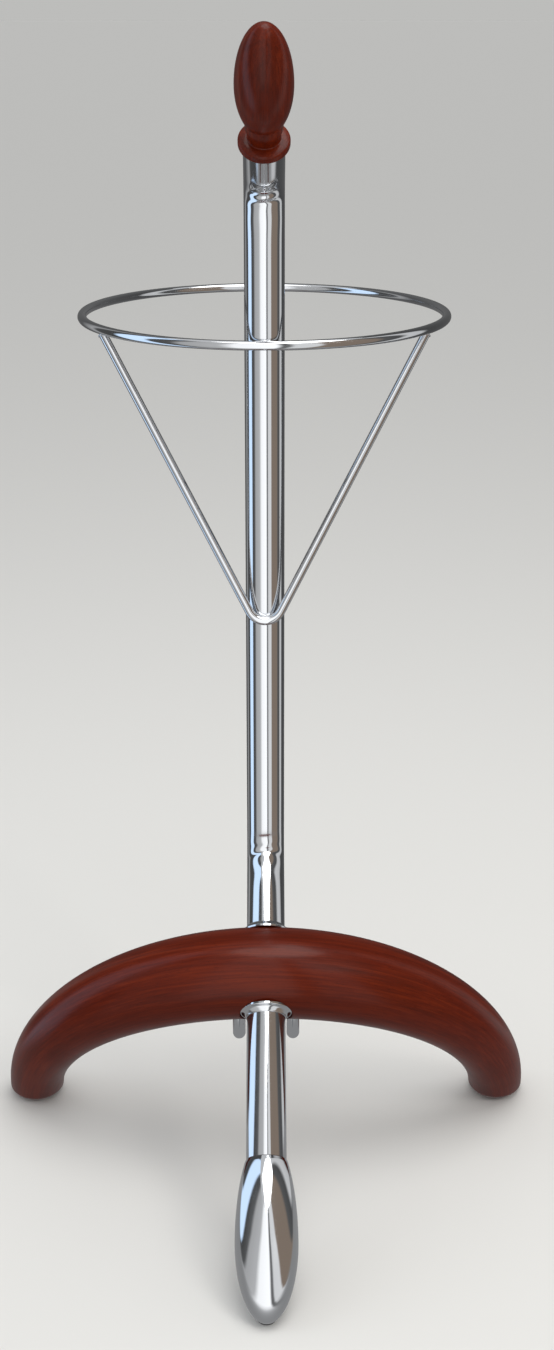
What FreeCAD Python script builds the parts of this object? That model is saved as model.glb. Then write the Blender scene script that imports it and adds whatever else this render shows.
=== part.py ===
import FreeCAD, Part
import math
import os
import Sketcher

# Valet stand: a bent chromed tube stands on a toe cap in front and on a wooden arch behind,
# carries a garment ring held up by a V-shaped brace, and ends in a turned wooden grip.
# Millimetres.  +Z is up and -Y is the front, where the toe is.  The origin is on the floor,
# under the middle of the whole stand.

SIZES = [
    # bent tube
    ("tube_dia", 35.0),
    ("tube_wall", 1.5),
    ("bend_radius", 30.0),
    ("lower_bend_height", 271.0),
    ("upper_bend_height", 882.5),
    ("run_slope", 38.0),
    ("grip_tilt", 47.0),
    ("grip_seat", 53.0),
    # toe cap: an egg on the lower end of the tube
    ("toe_dia", 53.8),
    ("toe_nose", 65.0),
    ("toe_shank", 68.6),
    ("neck_lip", 0.5),
    ("toe_pad_dia", 16.0),
    ("toe_pad_depth", 5.0),
    ("toe_pad_proud", 1.0),
    # plugs and studs in the tube's ends
    ("plug_length", 30.0),
    ("plug_clearance", 0.1),
    ("stud_dia", 8.0),
    ("stud_length", 60.0),
    ("stud_clearance", 0.1),
    # wooden arch
    ("arch_radius", 230.0),
    ("arch_lean", 30.5),
    ("arch_drop", 5.0),
    ("crown_dia", 82.0),
    ("foot_dia", 52.4),
    ("foot_edge", 7.0),
    ("bore_clearance", 0.25),
    ("seat_depth", 5.0),
    ("collar_dia", 47.5),
    ("collar_depth", 7.5),
    ("collar_rim", 2.6),
    ("seat_clearance", 0.3),
    # bolts under the crown, and the screw that locks the tube
    ("bolt_spread", 50.0),
    ("bolt_back", 13.7),
    ("bolt_reach", 50.0),
    ("nut_dia", 12.0),
    ("nut_hang", 38.0),
    ("nut_sink", 9.0),
    ("lock_dia", 6.0),
    ("lock_head_dia", 11.0),
    ("lock_head_depth", 4.0),
    ("lock_sink", 5.0),
    # glides under the feet
    ("glide_dia", 34.0),
    ("glide_depth", 2.0),
    ("nail_dia", 2.6),
    ("nail_head_dia", 7.0),
    ("nail_head_depth", 1.0),
    ("nail_recess", 0.4),
    ("nail_length", 18.0),
    # ring and brace
    ("ring_height", 755.0),
    ("ring_radius", 171.5),
    ("ring_rod_dia", 8.5),
    ("brace_rod_dia", 8.0),
    ("brace_height", 507.0),
    ("brace_bend", 16.0),
    ("brace_spread", 59.0),
    ("weld_leg", 4.0),
    # wooden grip
    ("egg_dia", 47.6),
    ("egg_top_half", 61.4),
    ("egg_low_half", 52.0),
    ("egg_centre", 66.8),
    ("grip_flange_dia", 43.3),
    ("grip_flange_depth", 10.0),
    ("grip_neck_dia", 27.0),
    ("grip_blend", 3.0),
]

X_AXIS = FreeCAD.Vector(1, 0, 0)
Y_AXIS = FreeCAD.Vector(0, 1, 0)
GAP = 0.02    # clearance between faces that meet without a fit
SWELL = 1.8    # power of the sine by which the arch slims from its crown to its feet
ARCH_SECTIONS = 11
STUD_ROOM = 2    # depth of a stud's hole past the stud's end
FLANGE_ROUND = 0.36    # rounding of the grip's flange, as a part of its thickness
BEAD_SPREAD = 0.3    # how far a weld bead shows round its rod, as a part of its leg
BEAD_DEPTH = 0.4    # how far a bead's cylinder starts inside the post, as a part of its leg
WAIST_OUT = 0.35    # where a collar's flare turns: part of the way from the tube to the rim
WAIST_UP = 0.55    # and part of the way up the collar
ARCH_PAST = 10    # degrees that the arch's blank runs on below each foot

doc = FreeCAD.newDocument("valet_stand")
sheet = doc.addObject("Spreadsheet::Sheet", "sizes")
for row, (alias, number) in enumerate(SIZES, start=1):
    sheet.set("A%d" % row, alias)
    sheet.set("B%d" % row, "%g" % number)
    sheet.setAlias("B%d" % row, alias)
doc.recompute()
nodes = []

# Places that several pieces share, written as expressions of the sheet's cells.
TUBE_R = "(sizes.tube_dia / 2)"
BORE_R = "(sizes.tube_dia / 2 - sizes.tube_wall)"
SIN_RUN = "sin(sizes.run_slope)"
COS_RUN = "cos(sizes.run_slope)"
SIN_TILT = "sin(sizes.grip_tilt)"
COS_TILT = "cos(sizes.grip_tilt)"
TOE_R = "(sizes.toe_dia / 2)"
NECK_R = "(sizes.tube_dia / 2 + sizes.neck_lip)"
# Height of the egg's centre over its own lowest point, for an ellipsoid lying along the run.
TOE_SUPPORT = "sqrt((sizes.toe_nose * %s)^2 + (%s * %s)^2)" % (SIN_RUN, TOE_R, COS_RUN)
TOE_REACH = "sqrt((sizes.toe_nose * %s)^2 + (%s * %s)^2)" % (COS_RUN, TOE_R, SIN_RUN)
TOE_Z = "(sizes.toe_pad_proud + %s)" % TOE_SUPPORT
TOE_ALONG = "((sizes.lower_bend_height - %s) / %s)" % (TOE_Z, SIN_RUN)
TUBE_END = "(%s - sizes.toe_shank)" % TOE_ALONG
# The stand's front is the toe's nose and its back is the ring: the post stands between them.
RING_Y = "(sizes.ring_radius - (sizes.tube_dia + sizes.ring_rod_dia) / 2)"
STAND_FRONT = "(%s * %s + %s)" % (TOE_ALONG, COS_RUN, TOE_REACH)
STAND_BACK = "(2 * sizes.ring_radius - %s)" % TUBE_R
POST_Y = "((%s - %s) / 2)" % (STAND_FRONT, STAND_BACK)
# The brace's bend touches the post's front, and its plane leans back to the ring.
BRACE_TOUCH_Y = "(-(%s + sizes.brace_rod_dia / 2))" % TUBE_R
BRACE_TIP_Y = "(%s - sizes.ring_radius * cos(sizes.brace_spread))" % RING_Y
BRACE_RISE = "(sizes.ring_height - sizes.brace_height)"
BRACE_LEAN = "atan((%s - %s) / %s)" % (BRACE_TIP_Y, BRACE_TOUCH_Y, BRACE_RISE)
# The arch's crown sits on the tube's lower run.
CROWN_UP = "(sizes.arch_radius - sizes.arch_drop)"
CROWN_Z = "(%s * cos(sizes.arch_lean))" % CROWN_UP
CROWN_ALONG = "((sizes.lower_bend_height - %s) / %s)" % (CROWN_Z, SIN_RUN)
CROWN_Y = "(%s - %s * %s)" % (POST_Y, CROWN_ALONG, COS_RUN)
FOOT_Y = "(%s + %s * sin(sizes.arch_lean))" % (CROWN_Y, CROWN_UP)
SEAT_OUT = "(sizes.crown_dia / 2 - sizes.seat_depth)"
BOLT_Y = "(%s + sizes.bolt_back)" % CROWN_Y
NUT_TOP = "(%s - sqrt((sizes.crown_dia / 2)^2 - sizes.bolt_back^2) + sizes.nut_sink)" % CROWN_Z
LOCK_HEAD = "(sizes.crown_dia / 2 - sizes.lock_sink - sizes.lock_head_depth)"
# The egg's lowest point lies this far in front of its centre.
TOE_PAD_Y = "(%s - %s * %s - (sizes.toe_nose^2 - %s^2) * %s * %s / %s)" % (
    POST_Y, TOE_ALONG, COS_RUN, TOE_R, SIN_RUN, COS_RUN, TOE_SUPPORT,
)


def value(text):
    """The number that an expression of the sheet's cells gives now."""
    return float(sheet.evalExpression(text))


def bind(thing, expressions):
    for name, text in expressions.items():
        thing.setExpression(name, text)
    return thing


def place(thing, x="0", y="0", z="0", turn=None):
    """Put a piece at x, y, z, turned about X by the angle that the text turn gives."""
    if turn is not None:
        thing.Placement = FreeCAD.Placement(FreeCAD.Vector(), FreeCAD.Rotation(X_AXIS, 1.0))
        thing.setExpression("Placement.Rotation.Angle", turn)
    bind(thing, {"Placement.Base.x": x, "Placement.Base.y": y, "Placement.Base.z": z})
    return thing


def on_run(thing, along, x="0"):
    """Local +Z points down the lower run; the origin is this far below the lower bend."""
    return place(
        thing,
        x,
        "%s - (%s) * %s" % (POST_Y, along, COS_RUN),
        "sizes.lower_bend_height - (%s) * %s" % (along, SIN_RUN),
        "90 + sizes.run_slope",
    )


def on_grip(thing, along):
    """Local +Z points up the upper run; the origin is this far above the upper bend."""
    return place(
        thing,
        "0",
        "%s - (%s) * %s" % (POST_Y, along, COS_TILT),
        "sizes.upper_bend_height + (%s) * %s" % (along, SIN_TILT),
        "90 - sizes.grip_tilt",
    )


def keep(thing, label):
    """Name a finished piece; its label is the name of its node."""
    thing.Label = label
    nodes.append(thing)
    return thing


def primitive(kind, name, expressions):
    return bind(doc.addObject("Part::" + kind, name), expressions)


def cylinder(name, radius, height):
    return primitive("Cylinder", name, {"Radius": radius, "Height": height})


def cut(name, base, tools):
    tool = tools[0]
    if len(tools) > 1:
        tool = doc.addObject("Part::MultiFuse", name + "_tools")
        tool.Shapes = tools
    result = doc.addObject("Part::Cut", name)
    result.Base = base
    result.Tool = tool
    return result


def fuse(name, shapes):
    result = doc.addObject("Part::MultiFuse", name)
    result.Shapes = shapes
    result.Refine = True
    return result


def origin_plane(body, role):
    return [plane for plane in body.Origin.OriginFeatures if plane.Role == role][0]


def sketch_on(body, name, role):
    sketch = body.newObject("Sketcher::SketchObject", name)
    sketch.AttachmentSupport = (origin_plane(body, role), [""])
    sketch.MapMode = "FlatFace"
    return sketch


def pin_point(sketch, geometry, corner, across, up):
    """Hold one point of the sketch at two expressions, measured from the origin."""
    for kind, text, axis in (("DistanceX", across, -2), ("DistanceY", up, -1)):
        if text == "0":
            sketch.addConstraint(Sketcher.Constraint("PointOnObject", geometry, corner, axis))
            continue
        number = sketch.addConstraint(
            Sketcher.Constraint(kind, -1, 1, geometry, corner, value(text))
        )
        sketch.setExpression("Constraints[%d]" % number, text)


def turned(name, outline):
    """A turned piece: a closed outline of (radius, height) corners, revolved about Z."""
    body = doc.addObject("PartDesign::Body", name)
    sketch = sketch_on(body, name + "_outline", "XZ_Plane")
    corners = [FreeCAD.Vector(value(radius), value(height), 0) for radius, height in outline]
    for number, corner in enumerate(corners):
        following = corners[(number + 1) % len(corners)]
        sketch.addGeometry(Part.LineSegment(corner, following), False)
    for number in range(len(corners)):
        following = (number + 1) % len(corners)
        sketch.addConstraint(Sketcher.Constraint("Coincident", number, 2, following, 1))
    for number, (radius, height) in enumerate(outline):
        pin_point(sketch, number, 1, radius, height)
    doc.recompute()
    spin = body.newObject("PartDesign::Revolution", name + "_turned")
    spin.Profile = sketch
    spin.ReferenceAxis = (sketch, ["V_Axis"])
    spin.Angle = 360.0
    sketch.Visibility = False
    return body


def circle_sketch(body, name, role, radii):
    """Concentric circles about the origin of a sketch, each radius an expression."""
    sketch = sketch_on(body, name, role)
    for number, radius in enumerate(radii):
        circle = Part.Circle(FreeCAD.Vector(), FreeCAD.Vector(0, 0, 1), value(radius))
        sketch.addGeometry(circle, False)
        sketch.addConstraint(Sketcher.Constraint("Coincident", number, 3, -1, 1))
        limit = sketch.addConstraint(Sketcher.Constraint("Radius", number, value(radius)))
        sketch.setExpression("Constraints[%d]" % limit, radius)
    return sketch


def offset_sketch(sketch, axis, x="0", y="0", z="0", turn="0"):
    """Shift a sketch in its plane's own frame and turn it about the given axis."""
    sketch.AttachmentOffset = FreeCAD.Placement(FreeCAD.Vector(), FreeCAD.Rotation(axis, 1.0))
    bind(sketch, {
        "AttachmentOffset.Base.x": x,
        "AttachmentOffset.Base.y": y,
        "AttachmentOffset.Base.z": z,
        "AttachmentOffset.Rotation.Angle": turn,
    })
    return sketch


def sweep(body, name, profile, path):
    doc.recompute()
    pipe = body.newObject("PartDesign::AdditivePipe", name)
    pipe.Profile = profile
    pipe.Spine = (path, [])
    return pipe


def main_tube():
    """The one bent tube, from the toe cap's neck to the grip's seat."""
    body = doc.addObject("PartDesign::Body", "tube_body")
    path = sketch_on(body, "tube_path", "YZ_Plane")
    radius = value("sizes.bend_radius")
    top_turn = "(90 - sizes.grip_tilt)"
    low_turn = "(90 - sizes.run_slope)"
    top_tangent = "(sizes.bend_radius * tan(%s / 2))" % top_turn
    low_tangent = "(sizes.bend_radius * tan(%s / 2))" % low_turn
    top_y = "-(sizes.grip_seat - %g) * %s" % (GAP, COS_TILT)
    top_z = "sizes.upper_bend_height + (sizes.grip_seat - %g) * %s" % (GAP, SIN_TILT)
    end_y = "-(%s - %g) * %s" % (TUBE_END, GAP, COS_RUN)
    end_z = "sizes.lower_bend_height - (%s - %g) * %s" % (TUBE_END, GAP, SIN_RUN)

    high = value("sizes.upper_bend_height - " + top_tangent)
    low = value("sizes.lower_bend_height + " + low_tangent)
    tilt = math.radians(value("sizes.grip_tilt"))
    slope = math.radians(value("sizes.run_slope"))
    top_turned = math.pi / 2 - tilt
    low_turned = math.pi / 2 - slope
    flat = FreeCAD.Vector(0, 0, 1)
    top_circle = Part.Circle(FreeCAD.Vector(-radius, high, 0), flat, radius)
    low_circle = Part.Circle(FreeCAD.Vector(-radius, low, 0), flat, radius)
    top_back = radius * (math.cos(top_turned) - 1)
    low_back = radius * (math.cos(low_turned) - 1)
    top_out = FreeCAD.Vector(top_back, high + radius * math.sin(top_turned), 0)
    low_out = FreeCAD.Vector(low_back, low - radius * math.sin(low_turned), 0)
    path.addGeometry(Part.LineSegment(FreeCAD.Vector(value(top_y), value(top_z), 0), top_out), False)
    path.addGeometry(Part.ArcOfCircle(top_circle, 0.0, top_turned), False)
    path.addGeometry(Part.LineSegment(FreeCAD.Vector(0, high, 0), FreeCAD.Vector(0, low, 0)), False)
    path.addGeometry(Part.ArcOfCircle(low_circle, -low_turned, 0.0), False)
    path.addGeometry(Part.LineSegment(low_out, FreeCAD.Vector(value(end_y), value(end_z), 0)), False)
    for joint in ((0, 2, 1, 2), (1, 1, 2, 1), (2, 2, 3, 2), (3, 1, 4, 1)):
        path.addConstraint(Sketcher.Constraint("Tangent", *joint))
    for arc in (1, 3):
        number = path.addConstraint(Sketcher.Constraint("Radius", arc, radius))
        path.setExpression("Constraints[%d]" % number, "sizes.bend_radius")
    pin_point(path, 0, 1, top_y, top_z)
    pin_point(path, 4, 2, end_y, end_z)
    pin_point(path, 2, 1, "0", "sizes.upper_bend_height - " + top_tangent)
    pin_point(path, 2, 2, "0", "sizes.lower_bend_height + " + low_tangent)
    profile = circle_sketch(body, "tube_section", "XZ_Plane", [TUBE_R, BORE_R])
    offset_sketch(
        profile, X_AXIS, "0", top_z, "-(%s)" % top_y, "-sizes.grip_tilt"
    )
    sweep(body, "tube_sweep", profile, path)
    place(body, y=POST_Y)
    return keep(body, "main_tube")


def garment_ring():
    """A rod bent into a ring; its front touches the front of the post."""
    ring = primitive("Torus", "ring_rod", {
        "Radius1": "sizes.ring_radius",
        "Radius2": "sizes.ring_rod_dia / 2",
    })
    place(ring, y="%s + %s" % (POST_Y, RING_Y), z="sizes.ring_height")
    return keep(ring, "garment_ring")


def brace_rod():
    """A rod bent to a V: its bend touches the post, its legs reach the ring's underside."""
    rod_r = "(sizes.brace_rod_dia / 2)"
    tip_x = "(sizes.ring_radius * sin(sizes.brace_spread))"
    tip_up = "(%s / cos(%s))" % (BRACE_RISE, BRACE_LEAN)
    # The leg leaves the bend as a tangent from the tip to the bend's circle.
    to_centre = "(%s - sizes.brace_bend)" % tip_up
    reach = "sqrt(%s^2 + %s^2)" % (tip_x, to_centre)
    leg_angle = "(atan(%s / %s) + asin(sizes.brace_bend / %s))" % (to_centre, tip_x, reach)
    body = doc.addObject("PartDesign::Body", "brace_body")
    path = sketch_on(body, "brace_path", "XZ_Plane")
    bend = value("sizes.brace_bend")
    turn = math.radians(value(leg_angle))
    centre = FreeCAD.Vector(0, bend, 0)
    tip = FreeCAD.Vector(value(tip_x), value(tip_up), 0)
    left_tip = FreeCAD.Vector(-tip.x, tip.y, 0)
    right_out = FreeCAD.Vector(bend * math.sin(turn), bend - bend * math.cos(turn), 0)
    left_out = FreeCAD.Vector(-right_out.x, right_out.y, 0)
    circle = Part.Circle(centre, FreeCAD.Vector(0, 0, 1), bend)
    path.addGeometry(Part.LineSegment(left_tip, left_out), False)
    path.addGeometry(Part.ArcOfCircle(circle, -math.pi / 2 - turn, -math.pi / 2 + turn), False)
    path.addGeometry(Part.LineSegment(right_out, tip), False)
    path.addConstraint(Sketcher.Constraint("Tangent", 0, 2, 1, 1))
    path.addConstraint(Sketcher.Constraint("Tangent", 1, 2, 2, 1))
    pin_point(path, 0, 1, "-" + tip_x, tip_up)
    pin_point(path, 2, 2, tip_x, tip_up)
    pin_point(path, 1, 3, "0", "sizes.brace_bend")
    number = path.addConstraint(Sketcher.Constraint("Radius", 1, bend))
    path.setExpression("Constraints[%d]" % number, "sizes.brace_bend")
    profile = circle_sketch(body, "brace_section", "XY_Plane", [rod_r])
    offset_sketch(profile, Y_AXIS, "-" + tip_x, "0", tip_up, leg_angle + " - 90 deg")
    sweep(body, "brace_sweep", profile, path)
    place(body, "0", "%s + %s" % (POST_Y, BRACE_TOUCH_Y), "sizes.brace_height", "-" + BRACE_LEAN)
    ring_space = rod_space("brace_notch", "sizes.ring_radius", "sizes.ring_rod_dia")
    place(ring_space, y="%s + %s" % (POST_Y, RING_Y), z="sizes.ring_height")
    return keep(cut("brace_cut", body, [ring_space]), "brace_rod")


def post_space(name, height):
    """A length of the post's outside, centred on a height, for trimming what touches it."""
    space = cylinder(name, TUBE_R, "2 * sizes.tube_dia")
    return place(space, y=POST_Y, z="%s - sizes.tube_dia" % height)


def rod_space(name, turn_radius, rod_dia):
    """The space of a bent rod with a hair's clearance, for trimming its weld."""
    return primitive("Torus", name, {
        "Radius1": turn_radius,
        "Radius2": "%s / 2 + %g" % (rod_dia, GAP),
    })


def rod_weld(label, rod_dia, height, rod):
    """The bead round the spot where a rod touches the front of the post."""
    radius = "%s / 2 + %g * sizes.weld_leg" % (rod_dia, BEAD_SPREAD)
    bead = cylinder(label + "_bead", radius, "sizes.weld_leg")
    start = "%s - %s + %g * sizes.weld_leg" % (POST_Y, TUBE_R, BEAD_DEPTH)
    place(bead, y=start, z=height, turn="90")
    off_post = cut(label + "_off_post", bead, [post_space(label + "_post", height)])
    return keep(cut(label + "_off_rod", off_post, [rod]), label)


def ring_weld():
    ring = rod_space("ring_weld_rod", "sizes.ring_radius", "sizes.ring_rod_dia")
    place(ring, y="%s + %s" % (POST_Y, RING_Y), z="sizes.ring_height")
    return rod_weld("ring_weld", "sizes.ring_rod_dia", "sizes.ring_height", ring)


def brace_weld():
    bend = rod_space("brace_weld_rod", "sizes.brace_bend", "sizes.brace_rod_dia")
    place(
        bend,
        "0",
        "%s + %s + sizes.brace_bend * sin(%s)" % (POST_Y, BRACE_TOUCH_Y, BRACE_LEAN),
        "sizes.brace_height + sizes.brace_bend * cos(%s)" % BRACE_LEAN,
        "90 deg - " + BRACE_LEAN,
    )
    return rod_weld("brace_weld", "sizes.brace_rod_dia", "sizes.brace_height", bend)


def brace_tip_welds(ring, brace):
    """A bead round each of the brace's tips, where it meets the ring's underside."""
    beads = []
    for side in (-1, 1):
        bead = primitive("Sphere", "tip_bead", {
            "Radius": "sizes.brace_rod_dia / 2 + %g * sizes.weld_leg" % BEAD_SPREAD,
        })
        place(
            bead,
            "%d * sizes.ring_radius * sin(sizes.brace_spread)" % side,
            "%s + %s - sizes.ring_radius * cos(sizes.brace_spread)" % (POST_Y, RING_Y),
            "sizes.ring_height - sizes.ring_rod_dia / 2",
        )
        beads.append(cut("tip_off_brace", cut("tip_off_ring", bead, [ring]), [brace]))
    group = doc.addObject("Part::Compound", "tip_welds")
    group.Links = beads
    return keep(group, "brace_tip_welds")


def section_radius(angle):
    """The arch is thickest at its crown and slims down to its feet."""
    swell = max(0.0, math.sin(math.radians(angle))) ** SWELL
    return "(sizes.foot_dia / 2 + %.6f * (sizes.crown_dia - sizes.foot_dia) / 2)" % swell


def arch_blank():
    """The arch before it is bored and cut: round sections along part of a circle."""
    body = doc.addObject("PartDesign::Body", "arch_blank")
    sections = []
    for number in range(ARCH_SECTIONS):
        angle = -ARCH_PAST + number * (180 + 2 * ARCH_PAST) / (ARCH_SECTIONS - 1)
        section = circle_sketch(body, "arch_section", "XY_Plane", [section_radius(angle)])
        offset_sketch(
            section,
            Y_AXIS,
            x="sizes.arch_radius * cos(%g)" % angle,
            z="sizes.arch_radius * sin(%g) - sizes.arch_drop" % angle,
            turn="%g" % -angle,
        )
        sections.append(section)
    doc.recompute()
    loft = body.newObject("PartDesign::AdditiveLoft", "arch_loft")
    loft.Profile = sections[0]
    loft.Sections = sections[1:]
    loft.Ruled = False
    return place(body, y=FOOT_Y, turn="sizes.arch_lean")


def base_arch():
    """The wooden arch, bored for the tube, with seats for the collars and holes for screws."""
    floor = primitive("Box", "arch_floor", {
        "Length": "4 * sizes.arch_radius",
        "Width": "4 * sizes.foot_dia",
        "Height": "sizes.arch_radius",
    })
    place(
        floor,
        "-2 * sizes.arch_radius",
        "%s - 2 * sizes.foot_dia" % FOOT_Y,
        "sizes.glide_depth - sizes.arch_radius",
    )
    bore = cylinder("arch_bore", "%s + sizes.bore_clearance" % TUBE_R, "2 * sizes.crown_dia")
    on_run(bore, "%s - sizes.crown_dia" % CROWN_ALONG)
    tools = [floor, bore]
    seat_r = "sizes.collar_dia / 2 + sizes.seat_clearance"
    for name, along in (
        ("front_seat", "%s + %s" % (CROWN_ALONG, SEAT_OUT)),
        ("rear_seat", "%s - %s - sizes.crown_dia" % (CROWN_ALONG, SEAT_OUT)),
    ):
        tools.append(on_run(cylinder(name, seat_r, "sizes.crown_dia"), along))
    for side in (-1, 1):
        x = "%d * sizes.bolt_spread / 2" % side
        nut_hole_r = "sizes.nut_dia / 2 + sizes.stud_clearance"
        nut_hole = cylinder("nut_hole", nut_hole_r, "sizes.crown_dia")
        tools.append(place(nut_hole, x, BOLT_Y, "%s - sizes.crown_dia + %g" % (NUT_TOP, GAP)))
        bolt_hole_r = "sizes.stud_dia / 2 + %g" % GAP
        bolt_hole = cylinder("bolt_hole", bolt_hole_r, "sizes.bolt_reach + %g" % GAP)
        tools.append(place(bolt_hole, x, BOLT_Y, NUT_TOP))
        nail_hole_r = "sizes.nail_dia / 2 + %g" % GAP
        nail_hole = cylinder("nail_hole", nail_hole_r, "sizes.nail_length + %g" % GAP)
        tools.append(place(nail_hole, foot_x(side), FOOT_Y, "0"))
    lock_hole = cylinder("lock_hole", "sizes.lock_dia / 2 + %g" % GAP, "sizes.crown_dia / 2")
    lock_seat_r = "sizes.lock_head_dia / 2 + sizes.seat_clearance"
    lock_seat = cylinder("lock_seat", lock_seat_r, "sizes.crown_dia / 2")
    tools.append(on_lock(lock_hole, "0"))
    tools.append(on_lock(lock_seat, LOCK_HEAD + " - %g" % GAP))
    bored = cut("arch_bored", arch_blank(), tools)
    doc.recompute()
    return keep(rounded("arch_rounded", bored, is_foot_edge, "sizes.foot_edge"), "base_arch")


def foot_x(side):
    return "%d * sqrt(sizes.arch_radius^2 - sizes.arch_drop^2)" % side


def is_foot_edge(edge):
    box = edge.BoundBox
    return box.ZMax < value("sizes.glide_depth") + 0.01 and edge.Length > value("2 * sizes.glide_dia")


def rounded(name, base, chosen, radius):
    """Round the chosen edges of a solid."""
    fillet = doc.addObject("Part::Fillet", name)
    fillet.Base = base
    size = value(radius)
    fillet.Edges = [
        (number, size, size)
        for number, edge in enumerate(base.Shape.Edges, start=1)
        if chosen(edge)
    ]
    return fillet


def on_lock(thing, out):
    """Local +Z points from the tube's axis to the crown's underside, square to the tube."""
    return place(
        thing,
        "0",
        "%s + (%s) * %s" % (CROWN_Y, out, SIN_RUN),
        "%s - (%s) * %s" % (CROWN_Z, out, COS_RUN),
        "180 + sizes.run_slope",
    )


def tube_lock_screw():
    """Holds the tube in the arch: a socket screw from the crown's underside to the tube."""
    screw_r = "sizes.lock_dia / 2"
    head_r = "sizes.lock_head_dia / 2"
    tip = "%s + %g" % (TUBE_R, GAP)
    top = LOCK_HEAD + " + sizes.lock_head_depth"
    blank = turned("lock_blank", [
        ("0", tip),
        (screw_r, tip),
        (screw_r, LOCK_HEAD),
        (head_r, LOCK_HEAD),
        (head_r, top),
        ("0", top),
    ])
    on_lock(blank, "0")
    socket = primitive("Prism", "lock_socket", {
        "Circumradius": "sizes.lock_dia / 2",
        "Height": "sizes.lock_head_depth",
    })
    socket.Polygon = 6
    on_lock(socket, LOCK_HEAD + " + sizes.lock_head_depth / 2")
    return keep(cut("lock_cut", blank, [socket]), "tube_lock_screw")


def pair(label, make, places):
    """Like pieces that share one node: separate solids in one group."""
    members = []
    for number, (x, y, z) in enumerate(places, start=1):
        members.append(place(make("%s_%d" % (label, number)), x, y, z))
    group = doc.addObject("Part::Compound", label + "_group")
    group.Links = members
    return keep(group, label)


def crown_places(z):
    return [("%d * sizes.bolt_spread / 2" % side, BOLT_Y, z) for side in (-1, 1)]


def foot_places(z):
    return [(foot_x(side), FOOT_Y, z) for side in (-1, 1)]


def crown_bolt(name):
    stud_r = "sizes.stud_dia / 2"
    low = "-(sizes.nut_hang / 2 - %g)" % GAP
    high = "sizes.bolt_reach"
    return turned(name, [("0", low), (stud_r, low), (stud_r, high), ("0", high)])


def crown_nut(name):
    """A long sleeve nut with a domed lower end; its open top is let into the wood."""
    length = "(sizes.nut_hang + sizes.nut_sink)"
    barrel = cylinder(name + "_barrel", "sizes.nut_dia / 2", "%s - sizes.nut_dia / 2" % length)
    place(barrel, z="-(%s - sizes.nut_dia / 2)" % length)
    dome = primitive("Sphere", name + "_dome", {"Radius": "sizes.nut_dia / 2"})
    place(dome, z="-(%s - sizes.nut_dia / 2)" % length)
    thread = cylinder(name + "_thread", "sizes.stud_dia / 2 + %g" % GAP, "sizes.nut_hang / 2")
    place(thread, z="-sizes.nut_hang / 2")
    return cut(name, fuse(name + "_solid", [barrel, dome]), [thread])


def collar(label, along, direction):
    """A flared chrome trim ring round the tube, seated in the arch."""
    inner = "%s + %g" % (TUBE_R, GAP)
    rim = "sizes.collar_dia / 2"
    waist = "%s + %g * (%s - %s)" % (TUBE_R, WAIST_OUT, rim, TUBE_R)
    lip = "%s + sizes.collar_rim" % TUBE_R
    body = turned(label + "_body", [
        (inner, "0"),
        (rim, "0"),
        (rim, "sizes.collar_rim"),
        (waist, "%g * sizes.collar_depth" % WAIST_UP),
        (lip, "sizes.collar_depth"),
        (inner, "sizes.collar_depth"),
    ])
    on_run(body, along)
    if direction < 0:
        body.setExpression("Placement.Rotation.Angle", "270 + sizes.run_slope")
    return keep(body, label)


def end_plug(label):
    """A round plug for an end of the tube, with a threaded hole along its axis."""
    outer = "%s - sizes.plug_clearance" % BORE_R
    inner = "sizes.stud_dia / 2 + sizes.stud_clearance"
    return keep(turned(label + "_body", [
        (inner, "0"),
        (outer, "0"),
        (outer, "sizes.plug_length"),
        (inner, "sizes.plug_length"),
    ]), label)


def end_stud(label):
    """A headless threaded stud."""
    outer = "sizes.stud_dia / 2"
    return keep(turned(label + "_body", [
        ("0", "0"), (outer, "0"), (outer, "sizes.stud_length"), ("0", "sizes.stud_length"),
    ]), label)


def half_egg(name, half_length, radius, low, high):
    egg = primitive("Ellipsoid", name, {
        "Radius1": half_length, "Radius2": radius, "Radius3": radius,
        "Angle1": "%d" % low, "Angle2": "%d" % high,
    })
    return egg


def toe_cap():
    """The chromed egg that the tube stands on, with its stud hole and the pad's recess."""
    shank_half = "sizes.toe_shank / sqrt(1 - (%s / %s)^2)" % (NECK_R, TOE_R)
    nose = on_run(half_egg("toe_nose_half", "sizes.toe_nose", TOE_R, 0, 90), TOE_ALONG)
    shank = on_run(half_egg("toe_shank_half", shank_half, TOE_R, -90, 0), TOE_ALONG)
    past_neck = cylinder("past_neck", "2 * " + TOE_R, "2 * sizes.toe_shank")
    on_run(past_neck, TUBE_END + " - 2 * sizes.toe_shank")
    stud_hole = cylinder(
        "toe_stud_hole",
        "sizes.stud_dia / 2 + sizes.stud_clearance",
        "2 * (sizes.stud_length - sizes.plug_length) + %g" % STUD_ROOM,
    )
    on_run(stud_hole, TUBE_END + " - (sizes.stud_length - sizes.plug_length)")
    recess = cylinder("toe_recess", "sizes.toe_pad_dia / 2 + %g" % GAP, "2 * sizes.toe_pad_depth")
    place(recess, y=TOE_PAD_Y, z="%g - sizes.toe_pad_depth" % GAP)
    egg = fuse("toe_egg", [nose, shank])
    return keep(cut("toe_cut", egg, [past_neck, stud_hole, recess]), "toe_cap")


def toe_pad():
    pad = cylinder("toe_pad_disc", "sizes.toe_pad_dia / 2", "sizes.toe_pad_depth")
    return keep(place(pad, y=TOE_PAD_Y), "toe_pad")


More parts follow.
